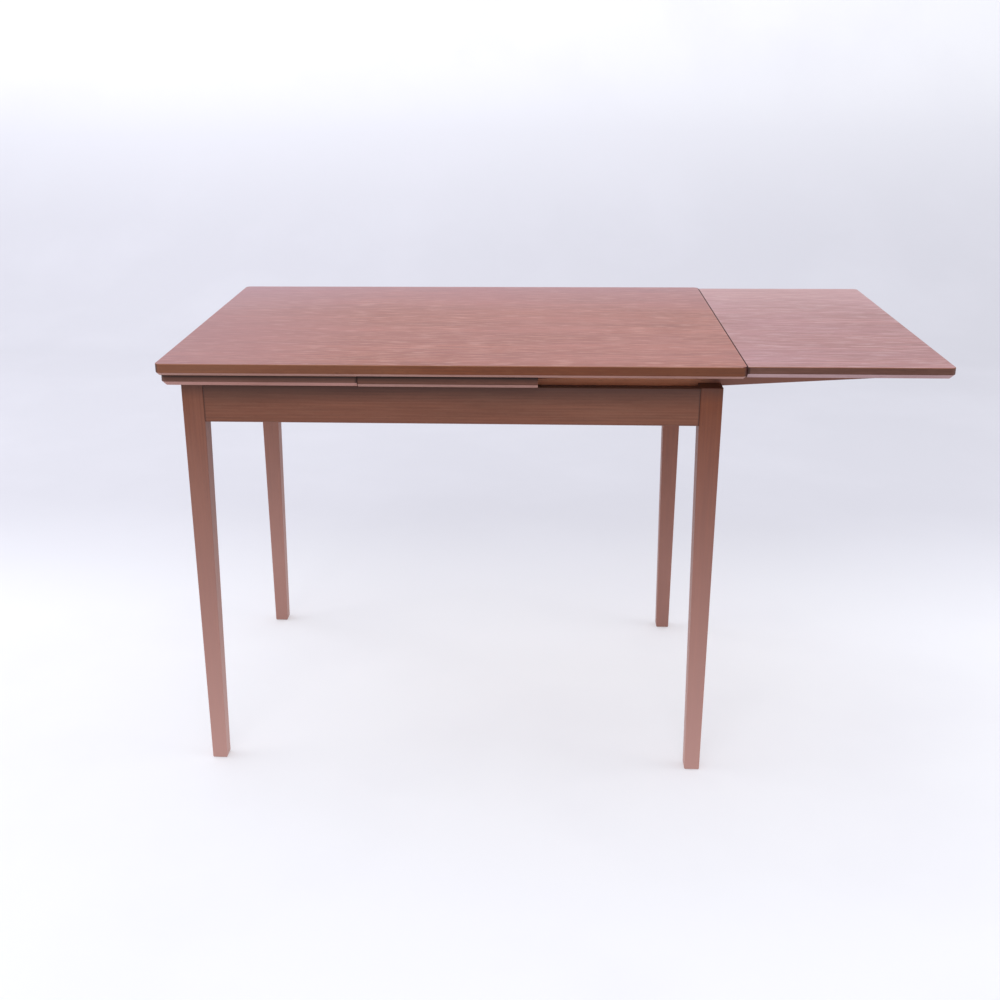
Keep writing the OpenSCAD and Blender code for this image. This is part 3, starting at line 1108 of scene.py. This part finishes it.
@dataclass
class LippedBoard:
    """A core board with four mitred strips of lipping round it and veneer over both."""

    name: str
    body: str
    profile: EdgeProfile
    finishes: Finishes
    lipping: float = 14.0
    veneer: float = 0.8
    glue_line: float = 0.1
    low: Vector = field(init=False)
    high: Vector = field(init=False)

    def __post_init__(self) -> None:
        """Takes the board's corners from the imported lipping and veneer."""
        self.low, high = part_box(f"{self.name}_lipping")
        self.high = Vector((high.x, high.y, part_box(f"{self.name}_veneer")[1].z))

    def build(self, veneer: Wood, edge: EdgeFinish, square_x: float | None = None) -> None:
        """Builds the veneer and the lipping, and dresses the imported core.

        Args:
            veneer: The veneer's finish.
            edge: The finishes of the edge.
            square_x: Where the board has a square-cut end, or None.
        """
        blank = Workpiece.block(f"{self.name}_blank", self.low, self.high)
        board = self.profile.shape(blank, self.low, self.high, square_x)
        self._veneer_sheet(board, veneer, edge)
        self._strips(board, edge)
        bpy.data.objects.remove(board.obj)
        dress(self.name, self.finishes.wood(BALANCING_VENEER, Grain.LENGTHWISE))

    def _veneer_sheet(self, board: Workpiece, veneer: Wood, edge: EdgeFinish) -> None:
        """Cuts the upper veneer off a copy of the board, with a painted highlight on its arris and painted
        shade where it meets a seam.

        Args:
            board: The shaped board.
            veneer: The veneer's finish.
            edge: The finishes of the edge.
        """
        sheet = board.copy(f"{self.name}_veneer_sheet")
        sheet.saw(self._glue_plane(), -UP)
        sheet.finish(
            self.finishes.wood(veneer, Grain.LENGTHWISE),
            self.finishes.wood(edge.arris, Grain.LENGTHWISE),
            self.finishes.wood(edge.seam, Grain.CROSSWISE),
        )
        # The veneer's edge takes the arris wood with its painted highlight.
        sheet.refinish(lambda middle, normal: abs(normal.z) < NEARLY_FLAT, 1)
        sheet.refinish(edge.in_seam, 2)
        sheet.smooth().mount(self.body, "top_veneer", f"{self.name}_veneer")

    def _strips(self, board: Workpiece, edge: EdgeFinish) -> None:
        """Builds the lipping, its long and its short strips each with their own grain.

        Args:
            board: The shaped board.
            edge: The finishes of the edge.
        """
        node = f"{self.name}_lipping"
        inwards = {"front": (0, 1), "back": (0, -1), "left": (1, 0), "right": (-1, 0)}
        front, back, left, right = [
            self._strip(board.copy(f"{node}_{label}"), Vector((*inward, 0)))
            for label, inward in inwards.items()
        ]
        pairs = (
            ("long", front, back, edge.long, Grain.LENGTHWISE),
            ("short", left, right, edge.short, Grain.CROSSWISE),
        )
        for label, strip, other, wood, grain in pairs:
            strip.join([other])
            strip.obj.name = f"{node}_{label}_strips"
            strip.finish(*[self.finishes.wood(each, grain) for each in (wood, edge.chamfer, edge.seam)])
            strip.refinish(is_chamfer, 1)
            # Faces that look into the seam take the painted shade.
            if grain is Grain.CROSSWISE:
                strip.refinish(edge.in_seam, 2)
            strip.mount(self.body, "teak_lipping", node)

    def _strip(self, board: Workpiece, inward: Vector) -> Workpiece:
        """Saws a board down to one strip of its lipping, with a mitre at each end.

        Args:
            board: A copy of the shaped board.
            inward: The direction from the strip to the board's middle.

        Returns:
            The strip.
        """
        board.saw(self._glue_plane(), UP)
        board.saw(self._corner(-inward) + inward * self.lipping * MM, inward)
        along = Vector((inward.y, inward.x, 0))
        for end in (along, -along):
            away = (inward + end).normalized()
            board.saw(self._corner(end - inward) - away * self.glue_line / 2 * MM, away)
        return board.smooth()

    def _glue_plane(self) -> Vector:
        """Gives a point of the plane where the veneer is glued on."""
        return Vector((0, 0, self.high.z - self.veneer * MM))

    def _corner(self, towards: Vector) -> Vector:
        """Gives the corner of the board that lies in a direction."""
        sides = zip(self.low, self.high, towards)
        return Vector([high if way > 0 else low for low, high, way in sides])


@dataclass
class MainTop:
    """The loose top: a lipped and veneered board with two turned pegs under it."""

    finishes: Finishes
    corner: float = 10.0
    chamfer: float = 4.5
    # The lengths, in millimetres, of the paler left end and of the painted reflection along the back.
    pale_left_end: float = 320.0
    back_reflection: float = 260.0
    # How far the painted shade reaches into each corner, in millimetres.
    corner_shade_reach: float = 6.5
    peg_radius: float = 9.0
    peg_nose: float = 3.0
    nose_flats: int = 3

    def build(self) -> None:
        """Builds the top and its pegs."""
        board = LippedBoard("main_top", "top", EdgeProfile(self.corner, self.chamfer), self.finishes)
        low, high = board.low, board.high
        # A paler tone on the left end, and a painted reflection of the backdrop along the back.
        left_tone_and_reflection = (
            Fade(Axis.LENGTH, low.x + self.pale_left_end * MM, low.x, LEFT_END_TONE, strength=0.5),
            Fade(Axis.WIDTH, high.y - self.back_reflection * MM, high.y, BACK_REFLECTION_TONE, strength=0.42),
        )
        board.build(replace(TOP_VENEER, fades=left_tone_and_reflection), self._edge_finish(low, high))
        self._pegs()

    def _edge_finish(self, low: Vector, high: Vector) -> EdgeFinish:
        """Gives the finishes of the edge, paler to the left, darker to the right, and with painted shade in
        the corners.

        Args:
            low: The top's lowest corner.
            high: Its highest corner.

        Returns:
            The finishes.
        """
        middle_x = (low.x + high.x) / 2
        pale = Fade(Axis.LENGTH, middle_x, low.x, PALER_LEFT_TONE, strength=0.24)
        dark = Fade(Axis.LENGTH, middle_x, high.x, DARKER_RIGHT_TONE, strength=0.45)
        uneven = replace(LIPPING, fades=(pale, dark))
        return EdgeFinish(
            corner_shade(uneven, "top_long", Axis.LENGTH, low, high, self.corner_shade_reach),
            corner_shade(LIPPING, "top_short", Axis.WIDTH, low, high, self.corner_shade_reach),
            TOP_CHAMFER,
        )

    def _pegs(self) -> None:
        """Turns the two guide pegs."""
        low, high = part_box("guide_pegs")
        radius = self.peg_radius * MM
        pegs = []
        for number, y in enumerate((low.y + radius, high.y - radius)):
            base = Vector(((low.x + high.x) / 2, y, low.z))
            peg = Workpiece.turned(f"guide_peg_{number}", base, radius, high.z - low.z)
            peg.bevel(lambda a, b: is_level(a, b, low.z), self.peg_nose * MM, self.nose_flats)
            pegs.append(peg)
        pegs[0].join(pegs[1:])
        pegs[0].obj.name = "turned_guide_pegs"
        pegs[0].smooth().finish(self.finishes.wood(BEECH, Grain.UPRIGHT)).mount("top", "beech", "guide_pegs")


@dataclass
class WoodScrew:
    """A countersunk screw with a slotted head, turned once and driven wherever a node has one."""

    finishes: Finishes
    head: float = 9.0
    shank: float = 4.5
    slot_width: float = 1.1
    slot_depth: float = 1.0
    point_share: float = 0.06
    sides: int = 32
    round_angle: float = 30.0

    def drive(self, node: str, body: str) -> None:
        """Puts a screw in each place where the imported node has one.

        Args:
            node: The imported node.
            body: The body that carries it.
        """
        packed = Workpiece.from_node(f"{node}_places", node).split()
        pattern = self._turn(max(packed[0].obj.dimensions) / MM)
        screws = []
        for number, place in enumerate(packed):
            screw = pattern.copy(f"{node}_{number}")
            head, direction = self._find_head(place)
            screws.append(screw.aim(direction).move(head))
            bpy.data.objects.remove(place.obj)
        bpy.data.objects.remove(pattern.obj)
        screws[0].join(screws[1:])
        screws[0].obj.name = f"{node}_slotted"
        screws[0].smooth(self.round_angle).finish(self.finishes.plain(SCREW_STEEL)).mount(body, "steel", node)

    def _turn(self, length: float) -> Workpiece:
        """Turns one screw with its head at the origin and its point up the Z axis.

        Args:
            length: The screw's length.

        Returns:
            The screw.
        """
        cone = (self.head - self.shank) / 2
        point = Vector((0, 0, length * MM))
        screw = Workpiece.turned("screw_blank", ORIGIN, self.shank / 2 * MM, point.z, self.sides)
        screw.score(Vector((0, 0, cone * MM)), UP)
        screw.score(point - Vector((0, 0, self.shank * MM)), UP)
        wider = self.head / self.shank
        narrower = self.point_share
        screw.scale_face(lambda middle, normal: normal.z < -FACING, Vector((wider, wider, 1)), ORIGIN)
        screw.scale_face(lambda middle, normal: normal.z > FACING, Vector((narrower, narrower, 1)), point)
        half = Vector((self.head, self.slot_width / 2, self.slot_depth)) * MM
        slot = Workpiece.block("screw_slot", -half, half)
        return screw.cut_with(slot)

    def _find_head(self, place: Workpiece) -> tuple[Vector, Vector]:
        """Finds where a packed screw's head lies and which way the screw points.

        Args:
            place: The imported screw.

        Returns:
            The middle of the head, and the direction from it to the point.
        """
        points = [vertex.co for vertex in place.obj.data.vertices]
        low = Vector([min(point[i] for point in points) for i in range(3)])
        high = Vector([max(point[i] for point in points) for i in range(3)])
        middle = (low + high) / 2
        along = max(range(3), key=lambda i: high[i] - low[i])
        aside = Vector([0.0 if i == along else 1.0 for i in range(3)])
        widest = max(points, key=lambda point: ((point - middle) * aside).length)
        head = middle.copy()
        head[along] = widest[along]
        direction = ORIGIN.copy()
        direction[along] = 1.0 if widest[along] < middle[along] else -1.0
        return head, direction


def shaded(wood: Wood, label: str, top_z: float) -> Wood:
    """Paints shade on a wood just under its upper edge, where it lies close beneath another board, with a
    darker painted line for the gap.

    Args:
        wood: The wood.
        label: What is added to its name.
        top_z: The height of the upper edge.

    Returns:
        The darkened wood.
    """
    starts, full, gap_starts, gap_full = [top_z - depth * MM for depth in (*SHADE_DEPTHS, *GAP_DEPTHS)]
    shade = Fade(Axis.HEIGHT, starts, full, wood.pore, strength=0.9)
    gap = Fade(Axis.HEIGHT, gap_starts, gap_full, CORNER_AND_GAP_SHADE, strength=0.75)
    return replace(wood, name=f"{wood.name}_{label}", fades=(*wood.fades, shade, gap))


def corner_shade(wood: Wood, label: str, axis: Axis, low: Vector, high: Vector, reach: float) -> Wood:
    """Paints shade on a lipping at both of its ends, in the rounds of the corners.

    Args:
        wood: The wood.
        label: What is added to its name.
        axis: The axis along which the strips run.
        low: The board's lowest corner.
        high: Its highest corner.
        reach: How far the painted shade reaches, in millimetres; it is full at half of that.

    Returns:
        The darkened wood.
    """
    fades = [
        Fade(axis, end + inwards * reach, end + inwards * reach / 2, CORNER_AND_GAP_SHADE, strength=0.7)
        for end, inwards in ((low[axis], MM), (high[axis], -MM))
    ]
    return replace(wood, name=f"{wood.name}_{label}", fades=(*wood.fades, *fades))


@dataclass
class DrawLeaf:
    """A leaf that slides on two tapered lopers, with stop dowels in their tails."""

    end: End
    finishes: Finishes
    corner: float = 10.0
    chamfer: float = 7.0
    loper_arris: float = 0.8
    dowel_arris: float = 0.9
    # How far the painted shade reaches into each corner, in millimetres.
    corner_shade_reach: float = 4.0
    # How far in from the leaf's inner end the painted shade on the lopers starts and is full, in millimetres.
    under_leaf_shade_start: float = 80.0
    under_leaf_shade: float = 40.0

    @property
    def side(self) -> str:
        """Gives the end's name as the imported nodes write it."""
        return self.end.name.lower()

    def build(self) -> None:
        """Builds the leaf with its lopers, dowels and screws."""
        body = f"{self.side}_leaf"
        board = LippedBoard(body, body, EdgeProfile(self.corner, self.chamfer), self.finishes)
        low, high = board.low, board.high
        inner_x = low.x if self.end is End.RIGHT else high.x
        # A pale pink tone towards the leaf's back edge.
        paler_back = Fade(Axis.WIDTH, (low.y + high.y) / 2, high.y, PALE_BACK_TONE, strength=0.3)
        board.build(replace(LEAF_VENEER, fades=(paler_back,)), self._edge_finish(low, high), inner_x)
        self._lopers(body, inner_x)
        node = f"{self.side}_stop_dowels"
        dowels = Workpiece.eased(f"{node}_turned", node, self.dowel_arris)
        dowels.finish(self.finishes.wood(BEECH, Grain.UPRIGHT)).mount(body, "beech", node)
        WoodScrew(self.finishes).drive(f"{self.side}_leaf_screws", body)

    def _edge_finish(self, low: Vector, high: Vector) -> EdgeFinish:
        """Gives the finishes of the edge, with painted shade in the corners and, where the left leaf lies
        stowed, under the top.

        Args:
            low: The leaf's lowest corner.
            high: Its highest corner.

        Returns:
            The finishes.
        """
        strips = (("long", Axis.LENGTH), ("short", Axis.WIDTH))
        long, short = [
            corner_shade(LEAF_LIPPING, f"{self.side}_{label}", axis, low, high, self.corner_shade_reach)
            for label, axis in strips
        ]
        if self.end is End.RIGHT:
            return EdgeFinish(long, short, GREY_CHAMFER, seam_end=End.LEFT)
        return EdgeFinish(shaded(long, "stowed", high.z), shaded(short, "stowed", high.z), WORN_AND_LIT_CHAMFER)

    def _lopers(self, body: str, inner_x: float) -> None:
        """Planes the two lopers, with painted shade where they lie under the leaf.

        Args:
            body: The body that carries them.
            inner_x: Where the leaf's inner end lies.
        """
        inwards = -self.end.value * MM
        start, end = inner_x + self.under_leaf_shade_start * inwards, inner_x + self.under_leaf_shade * inwards
        under_leaf_shade = Fade(Axis.LENGTH, start, end, UNDER_LEAF_SHADE, strength=0.88)
        wood = replace(LOPER_TEAK, name=f"{LOPER_TEAK.name}_{self.side}", fades=(under_leaf_shade,))
        for place in ("front", "back"):
            node = f"{self.side}_loper_{place}"
            loper = Workpiece.eased(f"{node}_planed", node, self.loper_arris)
            loper.finish(self.finishes.wood(wood, Grain.LENGTHWISE)).mount(body, "teak_loper", node)


@dataclass
class CentreBoard:
    """The board screwed to the bearers between the leaves, with felt for the top to lie on."""

    finishes: Finishes
    arris: float = 0.6
    felt_round: float = 0.5
    felt_flats: int = 3

    def build(self) -> None:
        """Builds the lippings, felts and screws, and dresses the board."""
        node = "centre_board_lipping"
        # The centre board's lipping lies under the top, so it takes painted shade below its upper edge.
        wood = shaded(BOARD_LIPPING, "covered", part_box(node)[1].z)
        lipping = Workpiece.eased(f"{node}_strips", node, self.arris)
        lipping.finish(*[self.finishes.wood(each, Grain.LENGTHWISE) for each in (wood, TOP_CHAMFER)])
        lipping.refinish(is_chamfer, 1).mount("frame", "teak_lipping", node)
        dress("centre_board", self.finishes.wood(BALANCING_VENEER, Grain.LENGTHWISE))
        node = "centre_board_felts"
        felts = Workpiece.eased("centre_board_felt_pads", node, self.felt_round, self.felt_flats)
        felts.finish(self.finishes.plain(WOOL_FELT)).mount("frame", "felt", node)
        WoodScrew(self.finishes).drive("centre_board_screws", "frame")


@dataclass
class Underframe:
    """Four tapered legs tenoned to aprons and end rails, with cross bearers and corner braces."""

    finishes: Finishes
    foot_share: float = 26.0 / 35.5
    foot_chamfer: float = 2.5
    foot_flats: int = 2
    leg_round: float = 1.6
    leg_flats: int = 3
    rail_arris: float = 0.5
    bearer_arris: float = 0.6
    brace_arris: float = 0.8
    # How far below the shoulder the paler foot starts, the painted shade at the tops of the legs and rails,
    # and the width of the dark joint lines, in millimetres.
    unworn: float = 30.0
    leg_shade: tuple[float, float] = (24.0, 2.0)
    rail_shade: float = 30.0
    joint_line: float = 2.4
    # For each leg, how high above the foot and how strongly it turns paler; the back legs' weaker fades are
    # painted shade under the table, deepest on the back right leg.
    foot_wear_and_shade: dict[str, tuple[float, float]] = field(
        default_factory=lambda: {
            "front_left": (0.0, 0.95),
            "front_right": (0.0, 0.95),
            "back_left": (150.0, 0.65),
            "back_right": (150.0, 0.48),
        }
    )

    def build(self) -> None:
        """Builds the legs, rails, bearers and braces, and drives the screws."""
        self._legs()
        self._rails()
        for node in ("bearer_left", "bearer_right"):
            piece = Workpiece.eased(f"{node}_planed", node, self.bearer_arris)
            piece.finish(self.finishes.wood(BEECH, Grain.CROSSWISE)).mount("frame", "beech", node)
        braces = Workpiece.eased("corner_braces_sawn", "corner_braces", self.brace_arris)
        braces.finish(self.finishes.wood(BEECH, Grain.UPRIGHT)).mount("frame", "beech", "corner_braces")
        WoodScrew(self.finishes).drive("corner_brace_screws", "frame")

    def _legs(self) -> None:
        """Tapers and rounds one leg, and copies it to the other three corners."""
        low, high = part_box("leg_front_left")
        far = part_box("leg_back_right")[1]
        shoulder_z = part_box("apron_front")[0].z
        leg = Workpiece.block("leg_front_left_shaped", low, high)
        leg.score(Vector((0, 0, shoulder_z)), UP)
        share = Vector((self.foot_share, self.foot_share, 1))
        leg.scale_face(lambda middle, normal: normal.z < -FACING, share, low)
        leg.bevel(lambda a, b: abs(a.z - b.z) > NEAR, self.leg_round * MM, self.leg_flats)
        leg.bevel(lambda a, b: is_level(a, b, low.z), self.foot_chamfer * MM, self.foot_flats)
        leg.smooth().finish(self._leg_wood(LEG_TEAK, shoulder_z, low.z, "front_left"))
        centre = Vector(((low.x + far.x) / 2, (low.y + far.y) / 2, 0))
        flips = {"front_right": (True, False), "back_left": (False, True), "back_right": (True, True)}
        for name, (flip_x, flip_y) in flips.items():
            twin = leg.mirrored(f"leg_{name}_shaped", flip_x, flip_y, centre)
            wood = RED_LEG_TEAK if flip_x else LEG_TEAK
            twin.smooth().finish(self._leg_wood(wood, shoulder_z, low.z, name))
            twin.mount("frame", "teak_leg", f"leg_{name}")
        leg.mount("frame", "teak_leg", "leg_front_left")

    def _leg_wood(self, wood: Wood, shoulder_z: float, foot_z: float, leg: str) -> Material:
        """Gives a leg's wood, paler towards the foot, partly from wear and partly as painted shade on the
        upper leg, and with painted shade at its top under the table top.

        Args:
            wood: The leg's wood.
            shoulder_z: The height at which the taper starts.
            foot_z: The height of the foot.
            leg: The leg's place, which says how high and how strongly it turns paler.

        Returns:
            The material.
        """
        height, strength = self.foot_wear_and_shade[leg]
        shade_start_z, shade_full_z = [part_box("apron_front")[1].z - drop * MM for drop in self.leg_shade]
        fades = (
            Fade(Axis.HEIGHT, shoulder_z + self.unworn * MM, foot_z + height * MM, PALE_FOOT_TONE, strength),
            Fade(Axis.HEIGHT, shade_start_z, shade_full_z, SHADE_AND_JOINT_BROWN, strength=0.5),
        )
        return self.finishes.wood(replace(wood, name=f"{wood.name}_{leg}", fades=fades), Grain.UPRIGHT)

    def _rails(self) -> None:
        """Softens the aprons and the notched end rails, with painted shade along the top under the overhang
        and dark lines at the leg joints.
        """
        top_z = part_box("apron_front")[1].z
        overhang_shade = Fade(Axis.HEIGHT, top_z - self.rail_shade * MM, top_z, SHADE_AND_JOINT_BROWN, strength=0.75)
        left_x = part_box("leg_front_left")[1].x
        right_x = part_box("leg_front_right")[0].x
        joints = [
            Fade(Axis.LENGTH, x + reach * MM, x, SHADE_AND_JOINT_BROWN, strength=0.85)
            for x, reach in ((left_x, self.joint_line), (right_x, -self.joint_line))
        ]
        woods = {
            "apron": self.finishes.wood(replace(FRAME_TEAK, fades=(overhang_shade, *joints)), Grain.LENGTHWISE),
            "end_rail": self.finishes.wood(replace(FRAME_TEAK, fades=(overhang_shade,)), Grain.CROSSWISE),
        }
        for node in ("apron_front", "apron_back", "end_rail_left", "end_rail_right"):
            rail = Workpiece.eased(f"{node}_planed", node, self.rail_arris)
            rail.finish(woods[node.rpartition("_")[0]]).mount("frame", "teak_frame", node)


# ---------------------------------------------------------------- the studio


@dataclass(frozen=True)
class Softbox:
    """A square soft light, placed in metres and aimed at a point of the table."""

    name: str
    place: tuple[float, float, float]
    size: float
    power: float
    aim: tuple[float, float, float] = (0.0, 0.0, 0.4)
    colour: str = "#fbfaff"
    mirrored: bool = True

    def hang(self) -> None:
        """Hangs the light."""
        deselect_all()
        place = Vector(self.place)
        turn = (Vector(self.aim) - place).to_track_quat("-Z", "Y").to_euler()
        bpy.ops.object.light_add(type="AREA", location=place, rotation=turn)
        light = bpy.context.active_object
        light.name = self.name
        light.data.shape = "SQUARE"
        light.data.size = self.size
        light.data.energy = self.power
        light.data.color = linear(self.colour)[:3]
        light.visible_camera = False
        light.visible_glossy = self.mirrored


SOFTBOXES = (
    Softbox("overhead_softbox", (-0.1, 0.5, 3.4), 4.0, 15.0),
    Softbox("left_softbox", (-3.9, -0.2, 1.15), 2.1, 52.0, mirrored=False),
    Softbox("right_softbox", (3.9, -0.4, 1.15), 2.1, 52.0, mirrored=False),
    Softbox("high_front_softbox", (-0.4, -2.8, 3.1), 2.2, 34.0, (0.0, 0.0, 0.5)),
    Softbox("low_front_softbox", (-0.2, -3.6, 0.95), 1.4, 6.0, (0.0, 0.0, 0.7), mirrored=False),
    Softbox("backdrop_softbox", (-2.6, 1.2, 3.6), 2.0, 54.0, (-2.0, 4.2, 2.0), "#f2f1ff"),
)


@dataclass(frozen=True)
class Paper:
    """Matt white paper that glows a little, with a painted shadow low behind the table, and white high up.

    Its places are pairs of metres, between which a tone comes in.
    """

    name: str = "matt_studio_paper"
    colour: str = "#f4f5f8"
    # The deep tone paints the table's soft shadow on the paper low behind it.
    deep: str = "#d8d8de"
    high: str = "#fefefe"
    spot: str = "#e6e6ec"
    glow: float = 0.36
    shadow_y: tuple[float, float] = (0.1, 1.1)
    shadow_z: tuple[float, float] = (0.2, 1.4)
    high_z: tuple[float, float] = (0.8, 2.0)
    mottle: float = 2.2
    spots: tuple[float, float] = (0.45, 0.75)
    spot_strength: float = 0.25

    def make(self) -> Material:
        """Builds the paper.

        Returns:
            The material.
        """
        material, tree, place = new_material(self.name)
        mottle = add_node(tree, "TexNoise", {"Vector": place, "Scale": self.mottle, "Detail": 4.0})
        axes = add_node(tree, "SeparateXYZ", {0: place}).outputs
        ramps = [
            add_node(
                tree,
                "MapRange",
                {0: axes[axis], 1: near, 2: far, 3: first, 4: 1.0 - first},
                interpolation_type="SMOOTHSTEP",
            ).outputs[0]
            for axis, (near, far), first in ((Axis.WIDTH, self.shadow_y, 0.0), (Axis.HEIGHT, self.shadow_z, 1.0))
        ]
        share = add_node(tree, "Math", {0: ramps[0], 1: ramps[1]}, operation="MULTIPLY").outputs[0]
        tones = {6: linear(self.colour), 7: linear(self.deep)}
        colour = add_node(tree, "Mix", {0: share, **tones}, data_type="RGBA").outputs[2]
        layers = (
            (axes[Axis.HEIGHT], self.high_z, 1.0, self.high),
            (mottle.outputs[0], self.spots, self.spot_strength, self.spot),
        )
        for value, (near, far), strength, tone in layers:
            share = add_node(tree, "MapRange", {0: value, 1: near, 2: far, 3: 0.0, 4: strength}).outputs[0]
            mixed = add_node(tree, "Mix", {0: share, 6: colour, 7: linear(tone)}, data_type="RGBA")
            colour = mixed.outputs[2]
        matt = add_node(tree, "BsdfDiffuse", {0: colour})
        glow = add_node(tree, "Emission", {0: colour})
        both = add_node(tree, "MixShader", {0: self.glow, 1: matt.outputs[0], 2: glow.outputs[0]})
        add_node(tree, "OutputMaterial", {0: both.outputs[0]})
        return material


@dataclass
class Studio:
    """A sweep of pale paper, softboxes all round, an even dim light and the camera."""

    paper: float = 26.0
    wall_y: float = 4.2
    wall_height: float = 5.0
    floor_z: float = -0.0005
    bend: float = 1.4
    bend_flats: int = 16
    bend_angle: float = 60.0
    air: float = 0.82
    air_colour: str = "#f0f1fa"
    sensor: float = 36.0
    lens: float = 44.905
    shift: tuple[float, float] = (0.04216, -0.00692)
    camera_at: tuple[float, float, float] = (-0.01686, -2.21833, 1.20731)
    yaw: float = -0.0664
    pitch: float = 0.3466
    roll: float = 0.0100

    def build(self) -> None:
        """Lays the paper, hangs the lights and sets the camera."""
        self._sweep()
        self._lights()
        self._camera()
        bpy.context.scene.view_settings.view_transform = "Standard"

    def _sweep(self) -> None:
        """Lays a sheet of paper that curves up into a wall behind the table."""
        deselect_all()
        middle = (0, self.wall_y - self.paper / 2, self.floor_z)
        bpy.ops.mesh.primitive_plane_add(size=self.paper, location=middle)
        sweep = Workpiece(bpy.context.active_object)
        sweep.obj.name = "paper_sweep"
        bpy.ops.object.transform_apply(location=True, rotation=True, scale=True)
        at_wall = self.wall_y - NEAR
        with sweep.editing("EDGE") as mesh:
            for edge in mesh.edges:
                edge.select_set(all(vertex.co.y > at_wall for vertex in edge.verts))
            bmesh.update_edit_mesh(sweep.obj.data)
            bpy.ops.mesh.extrude_region_move(TRANSFORM_OT_translate={"value": (0, 0, self.wall_height)})

        def in_fold(a: Vector, b: Vector) -> bool:
            """Tells whether an edge lies where the floor meets the wall."""
            return is_level(a, b, self.floor_z) and min(a.y, b.y) > at_wall

        sweep.bevel(in_fold, self.bend, self.bend_flats)
        sweep.smooth(self.bend_angle).finish(Paper().make())

    def _lights(self) -> None:
        """Hangs the softboxes and sets an even, dimmer light all round."""
        for box in SOFTBOXES:
            box.hang()
        world = bpy.data.worlds.new("studio_air")
        world.use_nodes = True
        tree = world.node_tree
        tree.nodes.clear()
        air = add_node(tree, "Background", {"Color": linear(self.air_colour), "Strength": self.air})
        add_node(tree, "OutputWorld", {0: air.outputs[0]})
        bpy.context.scene.world = world

    def _camera(self) -> None:
        """Sets the camera in front of the table and a little to its left."""
        deselect_all()
        bpy.ops.object.camera_add(location=self.camera_at)
        camera = bpy.context.active_object
        turn = Euler((0, 0, -self.yaw)).to_matrix()
        tilt = Euler((math.pi / 2 - self.pitch, 0, 0)).to_matrix()
        lean = Euler((0, 0, -self.roll)).to_matrix()
        camera.rotation_euler = (turn @ tilt @ lean).to_euler()
        camera.data.lens = self.lens
        camera.data.sensor_width = self.sensor
        camera.data.shift_x, camera.data.shift_y = self.shift
        bpy.context.scene.camera = camera


def main() -> None:
    """Builds the table and the studio in order."""
    logging.basicConfig(level=logging.INFO, format="%(message)s")
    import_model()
    finishes = Finishes()
    MainTop(finishes).build()
    DrawLeaf(End.LEFT, finishes).build()
    DrawLeaf(End.RIGHT, finishes).build()
    CentreBoard(finishes).build()
    Underframe(finishes).build()
    Studio().build()


if __name__ == "__main__":
    main()
